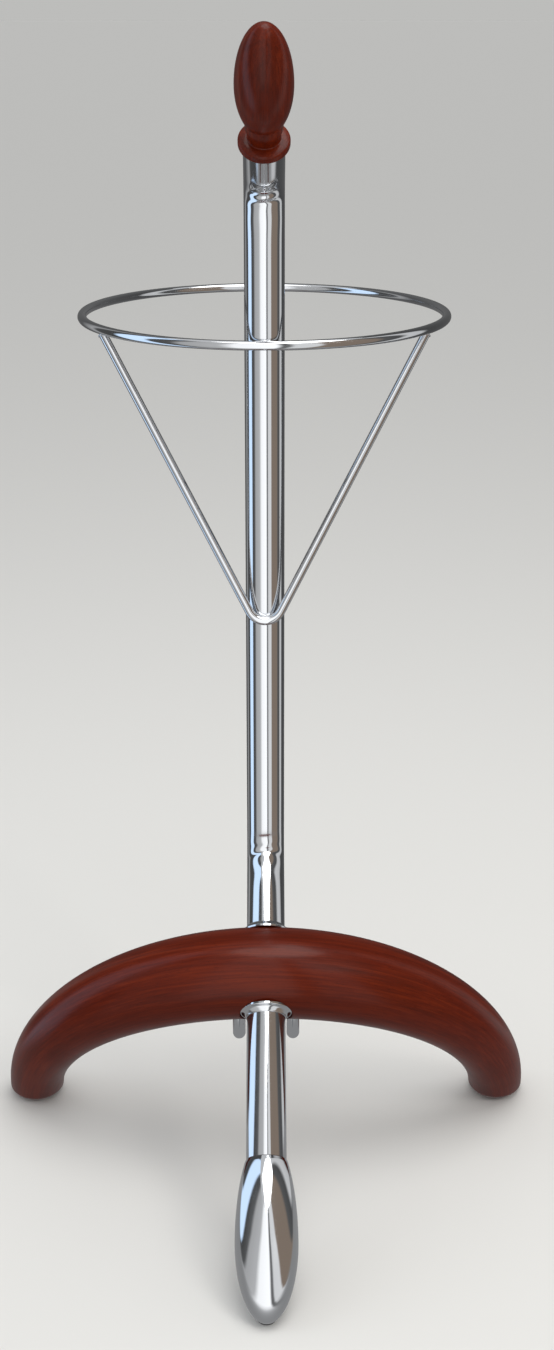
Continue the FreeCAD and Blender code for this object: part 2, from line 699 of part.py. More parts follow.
def grip():
    """The turned wooden grip: a flange on the tube's end, a short neck and an egg."""
    flange = cylinder("grip_flange", "sizes.grip_flange_dia / 2", "sizes.grip_flange_depth")
    neck = cylinder("grip_neck", "sizes.grip_neck_dia / 2", "sizes.egg_centre")
    egg_top = half_egg("grip_egg_top", "sizes.egg_top_half", "sizes.egg_dia / 2", 0, 90)
    egg_low = half_egg("grip_egg_low", "sizes.egg_low_half", "sizes.egg_dia / 2", -90, 0)
    on_grip(flange, "sizes.grip_seat")
    on_grip(neck, "sizes.grip_seat")
    on_grip(egg_top, "sizes.grip_seat + sizes.egg_centre")
    on_grip(egg_low, "sizes.grip_seat + sizes.egg_centre")
    solid = fuse("grip_solid", [flange, neck, egg_top, egg_low])
    stud_hole = cylinder(
        "grip_stud_hole",
        "sizes.stud_dia / 2 + sizes.stud_clearance",
        "2 * (sizes.stud_length - sizes.plug_length) + %g" % STUD_ROOM,
    )
    on_grip(stud_hole, "sizes.grip_seat - (sizes.stud_length - sizes.plug_length)")
    doc.recompute()
    flange_r = value("sizes.grip_flange_dia / 2")
    neck_r = value("sizes.grip_neck_dia / 2")

    def is_rim(edge):
        return abs(edge.BoundBox.XLength / 2 - flange_r) < 0.01 and edge.isClosed()

    def is_waist(edge):
        return abs(edge.BoundBox.XLength / 2 - neck_r) < 0.01 and edge.isClosed()

    rim_round = rounded("grip_rim", solid, is_rim, "%g * sizes.grip_flange_depth" % FLANGE_ROUND)
    doc.recompute()
    waist = rounded("grip_waist", rim_round, is_waist, "sizes.grip_blend")
    return keep(cut("grip_cut", waist, [stud_hole]), "grip")


def glide(label, side):
    """A hard glide under one wooden foot, with a stepped hole for its nail."""
    shank_r = "sizes.nail_dia / 2 + %g" % GAP
    head_r = "sizes.nail_head_dia / 2 + %g" % GAP
    step = "sizes.nail_recess + sizes.nail_head_depth + %g" % GAP
    body = turned(label + "_body", [
        (head_r, "0"),
        ("sizes.glide_dia / 2", "0"),
        ("sizes.glide_dia / 2", "sizes.glide_depth - %g" % GAP),
        (shank_r, "sizes.glide_depth - %g" % GAP),
        (shank_r, step),
        (head_r, step),
    ])
    return keep(place(body, foot_x(side), FOOT_Y, "0"), label)


def glide_nail(name):
    shank_r = "sizes.nail_dia / 2"
    head_r = "sizes.nail_head_dia / 2"
    head_top = "sizes.nail_recess + sizes.nail_head_depth"
    return turned(name, [
        ("0", "sizes.nail_recess"),
        (head_r, "sizes.nail_recess"),
        (head_r, head_top),
        (shank_r, head_top),
        (shank_r, "sizes.nail_length - sizes.nail_dia"),
        ("0", "sizes.nail_length"),
    ])


def build():
    main_tube()
    ring = garment_ring()
    brace = brace_rod()
    ring_weld()
    brace_weld()
    brace_tip_welds(ring, brace)
    base_arch()
    tube_lock_screw()
    pair("crown_bolts", crown_bolt, crown_places(NUT_TOP))
    pair("crown_nuts", crown_nut, crown_places(NUT_TOP))
    collar("front_collar", "%s + %s + %g" % (CROWN_ALONG, SEAT_OUT, GAP), 1)
    collar("rear_collar", "%s - %s - %g" % (CROWN_ALONG, SEAT_OUT, GAP), -1)
    toe_cap()
    toe_pad()
    on_run(end_plug("toe_plug"), "%s - sizes.plug_length - %g" % (TUBE_END, GAP))
    on_run(end_stud("toe_stud"), "%s - sizes.plug_length" % TUBE_END)
    grip()
    on_grip(end_plug("grip_plug"), "sizes.grip_seat - sizes.plug_length - %g" % GAP)
    on_grip(end_stud("grip_stud"), "sizes.grip_seat - sizes.plug_length")
    glide("foot_glide_left", -1)
    glide("foot_glide_right", 1)
    pair("glide_nails", glide_nail, foot_places("0"))


def check():
    """Stop if any object failed or any piece is empty or invalid."""
    for thing in doc.Objects:
        if "Invalid" in thing.State or "Error" in thing.State:
            raise RuntimeError("%s failed: %s" % (thing.Name, thing.State))
    for node in nodes:
        if node.Shape.isNull() or not node.Shape.isValid():
            raise RuntimeError("%s has no valid shape" % node.Label)
        if not node.Shape.Solids:
            raise RuntimeError("%s holds no solid" % node.Label)


build()
doc.recompute()
check()
os.makedirs("parts", exist_ok=True)
for node in nodes:
    node.Shape.exportStep("parts/%s.step" % node.Label)
    print("%-18s solids %d  volume %.1f" % (node.Label, len(node.Shape.Solids), node.Shape.Volume))
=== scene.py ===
"""Valet stand: a bent chromed tube on a wooden arch, with a garment ring and a turned grip."""

from math import (
    asin, atan2, copysign, cos, exp, hypot, pi, radians, sin, sqrt, tan, tau,
)

import bmesh
import bpy
from mathutils import Matrix, Vector


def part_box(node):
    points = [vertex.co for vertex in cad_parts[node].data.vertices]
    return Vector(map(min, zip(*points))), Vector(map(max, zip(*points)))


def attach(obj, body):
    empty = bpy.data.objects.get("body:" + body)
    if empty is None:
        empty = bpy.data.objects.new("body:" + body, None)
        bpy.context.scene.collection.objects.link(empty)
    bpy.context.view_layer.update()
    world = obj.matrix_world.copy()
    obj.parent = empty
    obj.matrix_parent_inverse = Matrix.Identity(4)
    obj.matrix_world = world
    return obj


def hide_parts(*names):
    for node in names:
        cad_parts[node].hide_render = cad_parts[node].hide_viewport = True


bl_info = {
    "name": "Valet Stand",
    "version": (1, 0, 0),
    "blender": (4, 5, 0),
    "location": "3D View > Sidebar > Valet Stand",
    "description": "Builds the chromed and wooden pieces of a valet stand round its design frame",
    "category": "Add Mesh",
}

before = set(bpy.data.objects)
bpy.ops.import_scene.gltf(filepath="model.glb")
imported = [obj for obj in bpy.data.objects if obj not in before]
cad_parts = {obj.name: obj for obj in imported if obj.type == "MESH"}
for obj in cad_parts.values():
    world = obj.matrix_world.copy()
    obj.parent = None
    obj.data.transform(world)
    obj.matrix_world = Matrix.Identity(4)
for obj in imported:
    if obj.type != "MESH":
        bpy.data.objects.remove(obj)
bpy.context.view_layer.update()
MM = 0.001


def box_size(node_name):
    low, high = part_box(node_name)
    return high - low


def box_centre(node_name):
    low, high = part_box(node_name)
    return (low + high) / 2


TUBE_DIA = box_size("main_tube").x
POST_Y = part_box("main_tube")[1].y - TUBE_DIA / 2
FOOT = box_centre("foot_glide_right")
GLIDE_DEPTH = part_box("foot_glide_right")[1].z
RING_ROD_DIA = box_size("garment_ring").z
RING_RADIUS = (box_size("garment_ring").x - RING_ROD_DIA) / 2
RING_CENTRE = box_centre("garment_ring")
X_AXIS = Vector((1, 0, 0))
# The stud holes in the toe cap and in the grip.
STUD_BORE = 4.1 * MM
STUD_BORE_DEPTH = 31 * MM
# How far the lock screw's head lies sunk below the crown's surface.
LOCK_HEAD_SUNK = 9 * MM
# How far the collars' seats are cut outwards, and the height at which the nuts' holes start.
SEAT_CUT = 80 * MM
NUT_CUT_START = 60 * MM
# Depth of the hole in a sleeve nut.
NUT_BORE_DEPTH = 20 * MM
# Distances in mm from the end of a bend at which the tube's wall has a ring of vertices.
RIPPLE_STEPS = (1.5, 3, 4.5, 6, 7.5, 9, 11, 14, 18, 22, 27, 33, 40)
# Each fold at a bend, in mm: its place along the inner wall from the bend's middle, its width and height.
BEND_FOLDS = [(-9.0, 5.0, -0.4), (-1.8, 2.6, 0.85), (2.8, 2.2, -0.65), (16.0, 10.0, -0.9)]
# How far along the wall the folds act, and how far they wander as they run round it.
FOLD_REACH = 40 * MM
FOLD_WANDER = 0.9 * MM


def length(label, description, millimetres):
    return bpy.props.FloatProperty(
        name=label, description=description, default=millimetres * MM, min=0.0,
        unit="LENGTH", subtype="DISTANCE",
    )


def angle(label, description, degrees):
    return bpy.props.FloatProperty(
        name=label, description=description, default=radians(degrees), unit="ROTATION", subtype="ANGLE"
    )


def srgb(code):
    """A colour written as six hex digits, turned to the linear numbers that shaders use."""
    channels = [int(code[start:start + 2], 16) / 255 for start in (0, 2, 4)]
    return [c / 12.92 if c <= 0.04045 else ((c + 0.055) / 1.055) ** 2.4 for c in channels]


def colour(label, description, code):
    return bpy.props.FloatVectorProperty(
        name=label, description=description, default=srgb(code), min=0.0, max=1.0, size=3, subtype="COLOR"
    )


class ValetTubeSizes(bpy.types.PropertyGroup):
    """The bent tube and what is on its two ends."""

    wall: length("Wall", "Thickness of the tube's wall", 1.5)
    bend_radius: length("Bend radius", "Radius of the tube's centre line at its bends", 30)
    lower_bend: length("Lower bend height", "Height at which the post meets the lower run", 271)
    upper_bend: length("Upper bend height", "Height at which the post meets the upper run", 882.5)
    slope: angle("Run slope", "Fall of the lower run, from level", 38)
    tilt: angle("Grip tilt", "Rise of the upper run, from level", 47)
    grip_seat: length("Grip seat", "Distance from the upper bend to the grip", 53)
    toe_dia: length("Toe diameter", "Greatest diameter of the toe cap", 53.8)
    toe_nose: length("Toe nose", "Length of the toe cap below its widest place", 65)
    toe_shank: length("Toe shank", "Length of the toe cap above its widest place", 68.6)
    toe_lift: length("Toe lift", "Height of the toe cap over the floor, on its pad", 1)


class ValetArchSizes(bpy.types.PropertyGroup):
    """The wooden arch and its fittings."""

    radius: length("Arch radius", "Radius of the arch's centre line", 230)
    drop: length("Arch drop", "Depth of the arch's centre below the floor, along its plane", 5)
    lean: angle("Arch lean", "Forward lean of the arch, from upright", 30.5)
    crown_dia: length("Crown diameter", "Thickness of the arch at its crown", 82)
    foot_dia: length("Foot diameter", "Thickness of the arch at its feet", 52.4)
    swell: bpy.props.FloatProperty(
        name="Swell", description="How fast the arch slims from crown to feet", default=1.8, min=0.1
    )
    foot_edge: length("Foot edge", "Rounding of the feet's lower edges", 7)
    seat_depth: length("Seat depth", "Depth of the collars' seats below the crown's surface", 5)
    collar_dia: length("Collar diameter", "Width of the trim rings at the wood", 47.5)
    collar_depth: length("Collar depth", "Height of the trim rings along the tube", 7.5)
    nut_dia: length("Nut diameter", "Thickness of the sleeve nuts under the crown", 12)


class ValetRodSizes(bpy.types.PropertyGroup):
    """The brace under the garment ring."""

    brace_dia: length("Brace rod", "Thickness of the brace's rod", 8)
    brace_height: length("Brace height", "Height of the brace's bend", 507)
    brace_bend: length("Brace bend", "Radius of the brace's bend", 16)
    spread: angle("Brace spread", "Place of the brace's tips round the ring, from its front", 59)
    bead: length("Weld bead", "Thickness of a weld bead", 2.6)


class ValetGripSizes(bpy.types.PropertyGroup):
    """The turned wooden grip."""

    egg_dia: length("Egg diameter", "Greatest diameter of the grip", 47.6)
    egg_top: length("Egg top", "Length of the egg above its widest place", 61.4)
    egg_low: length("Egg bottom", "Length of the whole egg below its widest place, neck included", 52)
    egg_centre: length("Egg centre", "Distance from the grip's seat to the egg's widest place", 66.8)
    flange_dia: length("Flange diameter", "Diameter of the flange at the tube", 43.3)
    flange_depth: length("Flange depth", "Thickness of the flange", 10)
    neck_dia: length("Neck diameter", "Diameter of the neck over the flange", 27)


class ValetFinish(bpy.types.PropertyGroup):
    """Colours that a user would change."""

    stain_dark: colour("Stain, dark", "Mahogany stain in the late wood and pores", "2c0801")
    stain_mid: colour("Stain, middle", "Mahogany stain in most of the wood", "561603")
    stain_light: colour("Stain, light", "Mahogany stain where the wood is paler", "7c2a08")
    plate: colour("Chrome plate", "Chrome's own tint", "cfd1d4")
    freckle: colour("Freckles", "Rust that shows through pores in the plate", "5b4636")
    zinc: colour("Zinc", "Zinc plating on screws and nuts", "b9bab4")
    moulding: colour("Moulded plastic", "Black moulded plastic of plugs and glides", "151516")
    floor: colour("Floor", "Studio floor", "d9d8d5")


GROUPS = {
    "valet_tube": ValetTubeSizes,
    "valet_arch": ValetArchSizes,
    "valet_rods": ValetRodSizes,
    "valet_grip": ValetGripSizes,
    "valet_finish": ValetFinish,
}


# ---------------------------------------------------------------- places on the stand


def along(height, rise, distance):
    """Where local +Z points forward along a run of tube that leaves the post at this height and rise."""
    forward = Vector((0, -cos(rise), sin(rise)))
    turn = Matrix.Rotation(pi / 2 - rise, 4, X_AXIS)
    return Matrix.Translation(Vector((0, POST_Y, height)) + distance * forward) @ turn


def along_run(scene, distance):
    """A place on the lower run, this far below the lower bend."""
    return along(scene.valet_tube.lower_bend, -scene.valet_tube.slope, distance)


def along_grip(scene, distance):
    """A place on the upper run, this far above the upper bend."""
    return along(scene.valet_tube.upper_bend, scene.valet_tube.tilt, distance)


def toe_distance(scene):
    """Distance down the run to the toe cap's widest place, so that the cap clears the floor."""
    tube = scene.valet_tube
    support = hypot(tube.toe_nose * sin(tube.slope), tube.toe_dia / 2 * cos(tube.slope))
    return (tube.lower_bend - tube.toe_lift - support) / sin(tube.slope)


def crown_distance(scene):
    """Distance down the run to the middle of the arch's crown."""
    arch = scene.valet_arch
    height = (arch.radius - arch.drop) * cos(arch.lean)
    return (scene.valet_tube.lower_bend - height) / sin(scene.valet_tube.slope)


def arch_matrix(scene):
    """The arch's own frame: X across, Z up its leaning plane, origin between the feet."""
    turn = Matrix.Rotation(scene.valet_arch.lean, 4, X_AXIS)
    return Matrix.Translation(Vector((0, FOOT.y, 0))) @ turn


def lock_matrix(scene):
    """Where local +Z points along the lock screw, from the tube's middle to its head."""
    turn = Matrix.Rotation(pi + scene.valet_tube.slope, 4, X_AXIS)
    centre = along_run(scene, crown_distance(scene)).translation
    return Matrix.Translation(centre) @ turn


# ---------------------------------------------------------------- nodes


def feed(tree, node, inputs):
    """Give a node's inputs a value each, a socket, or another node whose first output is meant."""
    for name, given in inputs.items():
        if isinstance(given, bpy.types.Node):
            given = given.outputs[0]
        if isinstance(given, bpy.types.NodeSocket):
            tree.links.new(given, node.inputs[name])
        else:
            node.inputs[name].default_value = given


def add(tree, kind, inputs=None, stops=(), **settings):
    """Add one node with its settings, its inputs and its colour stops: places from 0 to 1 with linear
    colours or grey levels."""
    made = tree.nodes.new(kind)
    for name, setting in settings.items():
        setattr(made, name, setting)
    feed(tree, made, inputs or {})
    while stops and len(made.color_ramp.elements) < len(stops):
        made.color_ramp.elements.new(0.5)
    for (position, shade), element in zip(stops, made.color_ramp.elements if stops else ()):
        element.position = position
        element.color = (*([shade] * 3 if isinstance(shade, float) else shade), 1.0)
    return made


def geometry_tree(name, inputs):
    """A Geometry Nodes tree with named inputs, holding only its input node."""
    tree = bpy.data.node_groups.new(name, "GeometryNodeTree")
    tree.interface.new_socket("Geometry", in_out="INPUT", socket_type="NodeSocketGeometry")
    for label, (kind, default) in inputs.items():
        socket = tree.interface.new_socket(label, in_out="INPUT", socket_type=kind)
        if default is not None:
            socket.default_value = default
    tree.interface.new_socket("Geometry", in_out="OUTPUT", socket_type="NodeSocketGeometry")
    return tree, add(tree, "NodeGroupInput")


def end_tree(tree, start, mesh):
    """Close a tree: smooth, realised and painted with the material input."""
    smooth = add(tree, "GeometryNodeSetShadeSmooth", {"Geometry": mesh})
    real = add(tree, "GeometryNodeRealizeInstances", {"Geometry": smooth})
    paint = start.outputs["Material"]
    painted = add(tree, "GeometryNodeSetMaterial", {"Geometry": real, "Material": paint})
    add(tree, "NodeGroupOutput", {0: painted})
    return tree


def sweep_tree():
    """Carries a round section along the object's own line of edges."""
    tree, start = geometry_tree("Swept rod", {
        "Radius": ("NodeSocketFloat", 0.005),
        "Sides": ("NodeSocketInt", 64),
        "Caps": ("NodeSocketBool", True),
        "Material": ("NodeSocketMaterial", None),
    })
    line = add(tree, "GeometryNodeMeshToCurve", {"Mesh": start.outputs["Geometry"]})
    section = add(tree, "GeometryNodeCurvePrimitiveCircle", {
        "Resolution": start.outputs["Sides"], "Radius": start.outputs["Radius"],
    })
    rod = add(tree, "GeometryNodeCurveToMesh", {
        "Curve": line, "Profile Curve": section,
        "Fill Caps": start.outputs["Caps"],
    })
    return end_tree(tree, start, rod)


def bead_tree():
    """Lays overlapping ripples of weld metal along the object's own line of edges."""
    tree, start = geometry_tree("Weld ripples", {
        "Bead": ("NodeSocketFloat", 0.0026),
        "Step": ("NodeSocketFloat", 0.0009),
        "Seed": ("NodeSocketInt", 7),
        "Material": ("NodeSocketMaterial", None),
    })
    line = add(tree, "GeometryNodeMeshToCurve", {"Mesh": start.outputs["Geometry"]})
    spots = add(tree, "GeometryNodeCurveToPoints", {
        "Curve": line, "Length": start.outputs["Step"],
    }, mode="LENGTH")
    half = add(tree, "ShaderNodeMath", {0: start.outputs["Bead"], 1: 0.5}, operation="MULTIPLY")
    drop = add(tree, "GeometryNodeMeshIcoSphere", {"Radius": half, "Subdivisions": 3})
    uneven = add(tree, "FunctionNodeRandomValue", {
        "Min": (0.86, 0.86, 0.86), "Max": (1.1, 1.1, 1.1), "Seed": start.outputs["Seed"],
    }, data_type="FLOAT_VECTOR")
    ripples = add(tree, "GeometryNodeInstanceOnPoints", {
        "Points": spots,
        "Instance": drop,
        "Rotation": spots.outputs["Rotation"],
        "Scale": uneven,
    })
    return end_tree(tree, start, ripples)


def horn_tree():
    """The arch's blank: a round section along an arc, thickest in the middle by a power of sine."""
    tree, start = geometry_tree("Bent horn", {
        "Arch radius": ("NodeSocketFloat", 0.23),
        "Crown radius": ("NodeSocketFloat", 0.041),
        "Foot radius": ("NodeSocketFloat", 0.026),
        "Swell": ("NodeSocketFloat", 1.8),
        "Past": ("NodeSocketFloat", 0.17),
        "Material": ("NodeSocketMaterial", None),
    })
    before = add(tree, "ShaderNodeMath", {0: start.outputs["Past"], 1: -1.0}, operation="MULTIPLY")
    extra = add(tree, "ShaderNodeMath", {0: start.outputs["Past"], 1: 2.0}, operation="MULTIPLY")
    sweep = add(tree, "ShaderNodeMath", {0: extra, 1: pi}, operation="ADD")
    arc = add(tree, "GeometryNodeCurveArc", {
        "Resolution": 160,
        "Radius": start.outputs["Arch radius"],
        "Start Angle": before,
        "Sweep Angle": sweep,
    })
    place = add(tree, "GeometryNodeSplineParameter")
    turned = add(tree, "ShaderNodeMath", {
        0: place, 1: sweep, 2: before,
    }, operation="MULTIPLY_ADD")
    sine = add(tree, "ShaderNodeMath", {0: turned}, operation="SINE")
    above = add(tree, "ShaderNodeMath", {0: sine, 1: 0.0}, operation="MAXIMUM")
    swell = add(tree, "ShaderNodeMath", {0: above, 1: start.outputs["Swell"]}, operation="POWER")
    spare = add(tree, "ShaderNodeMath", {
        0: start.outputs["Crown radius"], 1: start.outputs["Foot radius"],
    }, operation="SUBTRACT")
    thick = add(tree, "ShaderNodeMath", {
        0: swell, 1: spare, 2: start.outputs["Foot radius"],
    }, operation="MULTIPLY_ADD")
    section = add(tree, "GeometryNodeCurvePrimitiveCircle", {"Resolution": 112, "Radius": 1.0})
    horn = add(tree, "GeometryNodeCurveToMesh", {
        "Curve": arc, "Profile Curve": section, "Scale": thick, "Fill Caps": True,
    })
    return end_tree(tree, start, horn)


# ---------------------------------------------------------------- meshes


def new_object(name, mesh):
    thing = bpy.data.objects.new(name, mesh)
    bpy.context.scene.collection.objects.link(thing)
    return thing


def line_object(name, strings):
    """An object of edges only: each string of points is one open line."""
    mesh = bpy.data.meshes.new(name)
    points, edges = [], []
    for string in strings:
        first = len(points)
        points.extend(string)
        edges.extend((first + n, first + n + 1) for n in range(len(string) - 1))
    mesh.from_pydata(points, edges, [])
    return new_object(name, mesh)


def grown(thing, tree, settings):
    """Run a Geometry Nodes tree on an object and keep what it makes as a plain mesh."""
    modifier = thing.modifiers.new(tree.name, "NODES")
    modifier.node_group = tree
    for item in tree.interface.items_tree:
        if item.in_out == "INPUT" and item.name in settings:
            modifier[item.identifier] = settings[item.name]
    mesh = evaluated_mesh(thing)
    thing.modifiers.clear()
    thing.data = mesh
    return thing


def evaluated_mesh(thing):
    depsgraph = bpy.context.evaluated_depsgraph_get()
    depsgraph.update()
    mesh = bpy.data.meshes.new_from_object(thing.evaluated_get(depsgraph))
    mesh.name = thing.name
    return mesh


def tidy(thing, merge=0.00001):
    """Merge doubles and turn every face outwards."""
    shape = bmesh.new()
    shape.from_mesh(thing.data)
    bmesh.ops.remove_doubles(shape, verts=shape.verts, dist=merge)
    bmesh.ops.recalc_face_normals(shape, faces=shape.faces)
    if shape.calc_volume(signed=True) < 0:
        bmesh.ops.reverse_faces(shape, faces=shape.faces)
    shape.to_mesh(thing.data)
    shape.free()
    thing.data.update()
    return thing


def soften(thing, degrees=35):
    """Smooth shading, with a crisp edge only where faces meet at more than this angle."""
    thing.data.shade_smooth()
    thing.data.set_sharp_from_angle(angle=radians(degrees))
    return thing


def lathe(name, outline, material, matrix=Matrix(), sides=128):
    """Turn an outline of (radius, height) about Z; it starts and ends on the axis or is closed."""
    shape = bmesh.new()
    rings = []
    for radius, height in outline:
        if radius < 1e-7:
            rings.append([shape.verts.new((0, 0, height))])
            continue
        rings.append([shape.verts.new((radius * x, radius * y, height)) for x, y in around(sides)[:-1]])
    pairs = list(zip(rings, rings[1:]))
    if len(rings[0]) > 1:
        pairs.append((rings[-1], rings[0]))
    for low, high in pairs:
        for side in range(sides):
            after = (side + 1) % sides
            corners = [
                low[side % len(low)], low[after % len(low)],
                high[after % len(high)], high[side % len(high)],
            ]
            corners = list(dict.fromkeys(corners))
            if len(corners) > 2:
                shape.faces.new(corners)
    bmesh.ops.recalc_face_normals(shape, faces=shape.faces)
    bmesh.ops.transform(shape, matrix=matrix, verts=shape.verts)
    mesh = bpy.data.meshes.new(name)
    shape.to_mesh(mesh)
    shape.free()
    thing = new_object(name, mesh)
    mesh.materials.append(material)
    return soften(thing)


def around(count):
    """The cosine and sine at equal steps round a circle; the last pair closes it."""
    return [(cos(tau * n / count), sin(tau * n / count)) for n in range(count + 1)]


def arc_points(centre, radius, start, end, steps):
    """Points of a circular arc in an outline, from one angle to another in degrees."""
    points = []
    for step in range(steps + 1):
        turn = radians(start + (end - start) * step / steps)
        points.append((centre[0] + radius * cos(turn), centre[1] + radius * sin(turn)))
    return points


def carve(thing, tools):
    """Cut the tools' shapes out of a piece, then remove the tools."""
    for tool in tools:
        modifier = thing.modifiers.new("Cut", "BOOLEAN")
        modifier.operation = "DIFFERENCE"
        modifier.solver = "EXACT"
        modifier.object = tool
    mesh = evaluated_mesh(thing)
    thing.modifiers.clear()
    thing.data = mesh
    for tool in tools:
        bpy.data.objects.remove(tool)
    return thing


def rod_cutter(radius, low, high, matrix, sides=128):
    outline = [(0, low), (radius, low), (radius, high), (0, high)]
    return lathe("cutter", outline, None, matrix, sides)


def settle(thing, slot_name, *node_names):
    """Hand a finished piece to the frame: it rides on the stand and stands for its nodes."""
    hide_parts(*node_names)
    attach(thing, "root")
    return thing


# ---------------------------------------------------------------- materials


def start_material(name):
    """A new material with its tree, shader and object coordinates; one made before comes back alone."""
    material = bpy.data.materials.get(name)
    if material is not None:
        return material, None, None, None
    material = bpy.data.materials.new(name)
    material.use_nodes = True
    tree = material.node_tree
    tree.nodes.clear()
    shader = add(tree, "ShaderNodeBsdfPrincipled")
    add(tree, "ShaderNodeOutputMaterial", {"Surface": shader})
    place = add(tree, "ShaderNodeTexCoord").outputs["Object"]
    return material, tree, shader, place


def chrome_plate(scene, name="Polished chrome plate", wave_mm=60.0):
    """Bright chrome over nickel on steel: mirror-like, with a faint haze where hands and cloths
    rubbed it, slow waves left by the tube's drawing, and a few freckles where the plate is thin."""
    material, tree, shader, place = start_material(name)
    if tree is None:
        return material
    finish = scene.valet_finish
    freckles = add(tree, "ShaderNodeTexVoronoi", {"Vector": place, "Scale": 1 / (9 * MM)})
    patch = add(tree, "ShaderNodeTexNoise", {"Vector": place, "Scale": 1 / (70 * MM), "Detail": 3.0})
    small = add(tree, "ShaderNodeValToRGB", {"Fac": freckles}, [(0.0, 1.0), (0.045, 0.7), (0.075, 0.0)])
    often = add(tree, "ShaderNodeValToRGB", {"Fac": patch}, [(0.56, 0.0), (0.68, 0.55)])
    spots = add(tree, "ShaderNodeMath", {0: small, 1: often}, operation="MULTIPLY")
    tint = add(tree, "ShaderNodeMix", {
        "Factor": spots, "A": (*finish.plate, 1.0), "B": (*finish.freckle, 1.0),
    }, data_type="RGBA")
    haze = add(tree, "ShaderNodeTexNoise", {"Vector": place, "Scale": 1 / (35 * MM), "Detail": 6.0})
    wiped = add(tree, "ShaderNodeMapping", {
        "Vector": place, "Scale": (1 / (2 * MM), 1 / (2 * MM), 1 / (30 * MM)),
    })
    cloth = add(tree, "ShaderNodeTexNoise", {"Vector": wiped, "Scale": 1.0, "Detail": 4.0})
    mixed = add(tree, "ShaderNodeMath", {0: haze, 1: cloth}, operation="MULTIPLY")
    rough = add(tree, "ShaderNodeMapRange", {
        "Value": mixed, "From Min": 0.12, "From Max": 0.45, "To Min": 0.035, "To Max": 0.11,
    })
    worn = add(tree, "ShaderNodeMath", {0: spots, 1: 0.4, 2: rough}, operation="MULTIPLY_ADD")
    slow = add(tree, "ShaderNodeTexNoise", {"Vector": place, "Scale": 1 / (wave_mm * MM), "Detail": 1.0})
    wave = add(tree, "ShaderNodeBump", {
        "Height": slow, "Strength": 0.25, "Distance": 0.25 * MM,
    })
    pits = add(tree, "ShaderNodeBump", {
        "Height": spots, "Strength": 0.3, "Distance": 0.05 * MM, "Normal": wave,
    })
    feed(tree, shader, {
        "Base Color": tint.outputs["Result"], "Metallic": 1.0, "Roughness": worn, "Normal": pits,
    })
    return material


def lacquered_mahogany(scene):
    """Beech stained mahogany red under satin lacquer: the grain is nearly hidden, with short dark
    pores along it, and the lacquer adds a soft gloss with a slight orange-peel."""
    material, tree, shader, _ = start_material("Satin lacquer on mahogany-stained beech")
    if tree is None:
        return material
    finish = scene.valet_finish
    timber = add(tree, "ShaderNodeAttribute", attribute_name="grain", attribute_type="GEOMETRY")
    grain = timber.outputs["Vector"]
    # Fibre: streaks some 55 mm long and 1.6 mm wide.
    stretched = add(tree, "ShaderNodeMapping", {
        "Vector": grain, "Scale": (1 / (55 * MM), 1 / (1.6 * MM), 1 / (1.6 * MM)),
    })
    fibre = add(tree, "ShaderNodeTexNoise", {
        "Vector": stretched, "Scale": 1.0, "Detail": 7.0, "Roughness": 0.6, "Distortion": 0.3,
    })
    # Growth bands about 12 mm apart, running with the grain.
    banded = add(tree, "ShaderNodeMapping", {
        "Vector": grain, "Scale": (1 / (300 * MM), 1 / (14 * MM), 1 / (9 * MM)),
    })
    bands = add(tree, "ShaderNodeTexNoise", {
        "Vector": banded, "Scale": 1.0, "Detail": 2.0, "Distortion": 1.1,
    })
    both = add(tree, "ShaderNodeMath", {0: bands, 1: 0.45}, operation="MULTIPLY")
    streaks = add(tree, "ShaderNodeMath", {
        0: fibre, 1: 0.55, 2: both,
    }, operation="MULTIPLY_ADD")
    stain = add(tree, "ShaderNodeValToRGB", {"Fac": streaks}, [
        (0.12, finish.stain_dark), (0.50, finish.stain_mid), (0.90, finish.stain_light),
    ])
    # Pores: dark flecks about 5 mm long and 0.5 mm wide, drawn a little coarse so that they show.
    pricked = add(tree, "ShaderNodeMapping", {
        "Vector": grain, "Scale": (1 / (6 * MM), 1 / (0.7 * MM), 1 / (0.7 * MM)),
    })
    pores = add(tree, "ShaderNodeTexNoise", {"Vector": pricked, "Scale": 1.0, "Detail": 2.0})
    pore = add(tree, "ShaderNodeValToRGB", {"Fac": pores}, [(0.62, 0.0), (0.72, 1.0)])
    darkened = add(tree, "ShaderNodeMath", {0: pore, 1: 0.45}, operation="MULTIPLY")
    wood = add(tree, "ShaderNodeMix", {
        "Factor": darkened, "A": stain, "B": (*finish.stain_dark, 1.0),
    }, data_type="RGBA")
    handled = add(tree, "ShaderNodeTexNoise", {"Vector": grain, "Scale": 1 / (45 * MM), "Detail": 5.0})
    rough = add(tree, "ShaderNodeMapRange", {
        "Value": handled, "From Min": 0.3, "From Max": 0.7, "To Min": 0.30, "To Max": 0.42,
    })
    peel = add(tree, "ShaderNodeTexNoise", {"Vector": grain, "Scale": 1 / (3 * MM), "Detail": 2.0})
    sunk = add(tree, "ShaderNodeMath", {0: pore, 1: -0.35, 2: peel}, operation="MULTIPLY_ADD")
    skin = add(tree, "ShaderNodeBump", {"Height": sunk, "Strength": 0.22, "Distance": 0.06 * MM})
    feed(tree, shader, {
        "Base Color": wood.outputs["Result"], "Roughness": rough, "IOR": 1.5, "Specular IOR Level": 0.08,
        "Coat Weight": 0.2, "Coat Roughness": 0.16, "Coat IOR": 1.5, "Normal": skin, "Coat Normal": skin,
    })
    return material


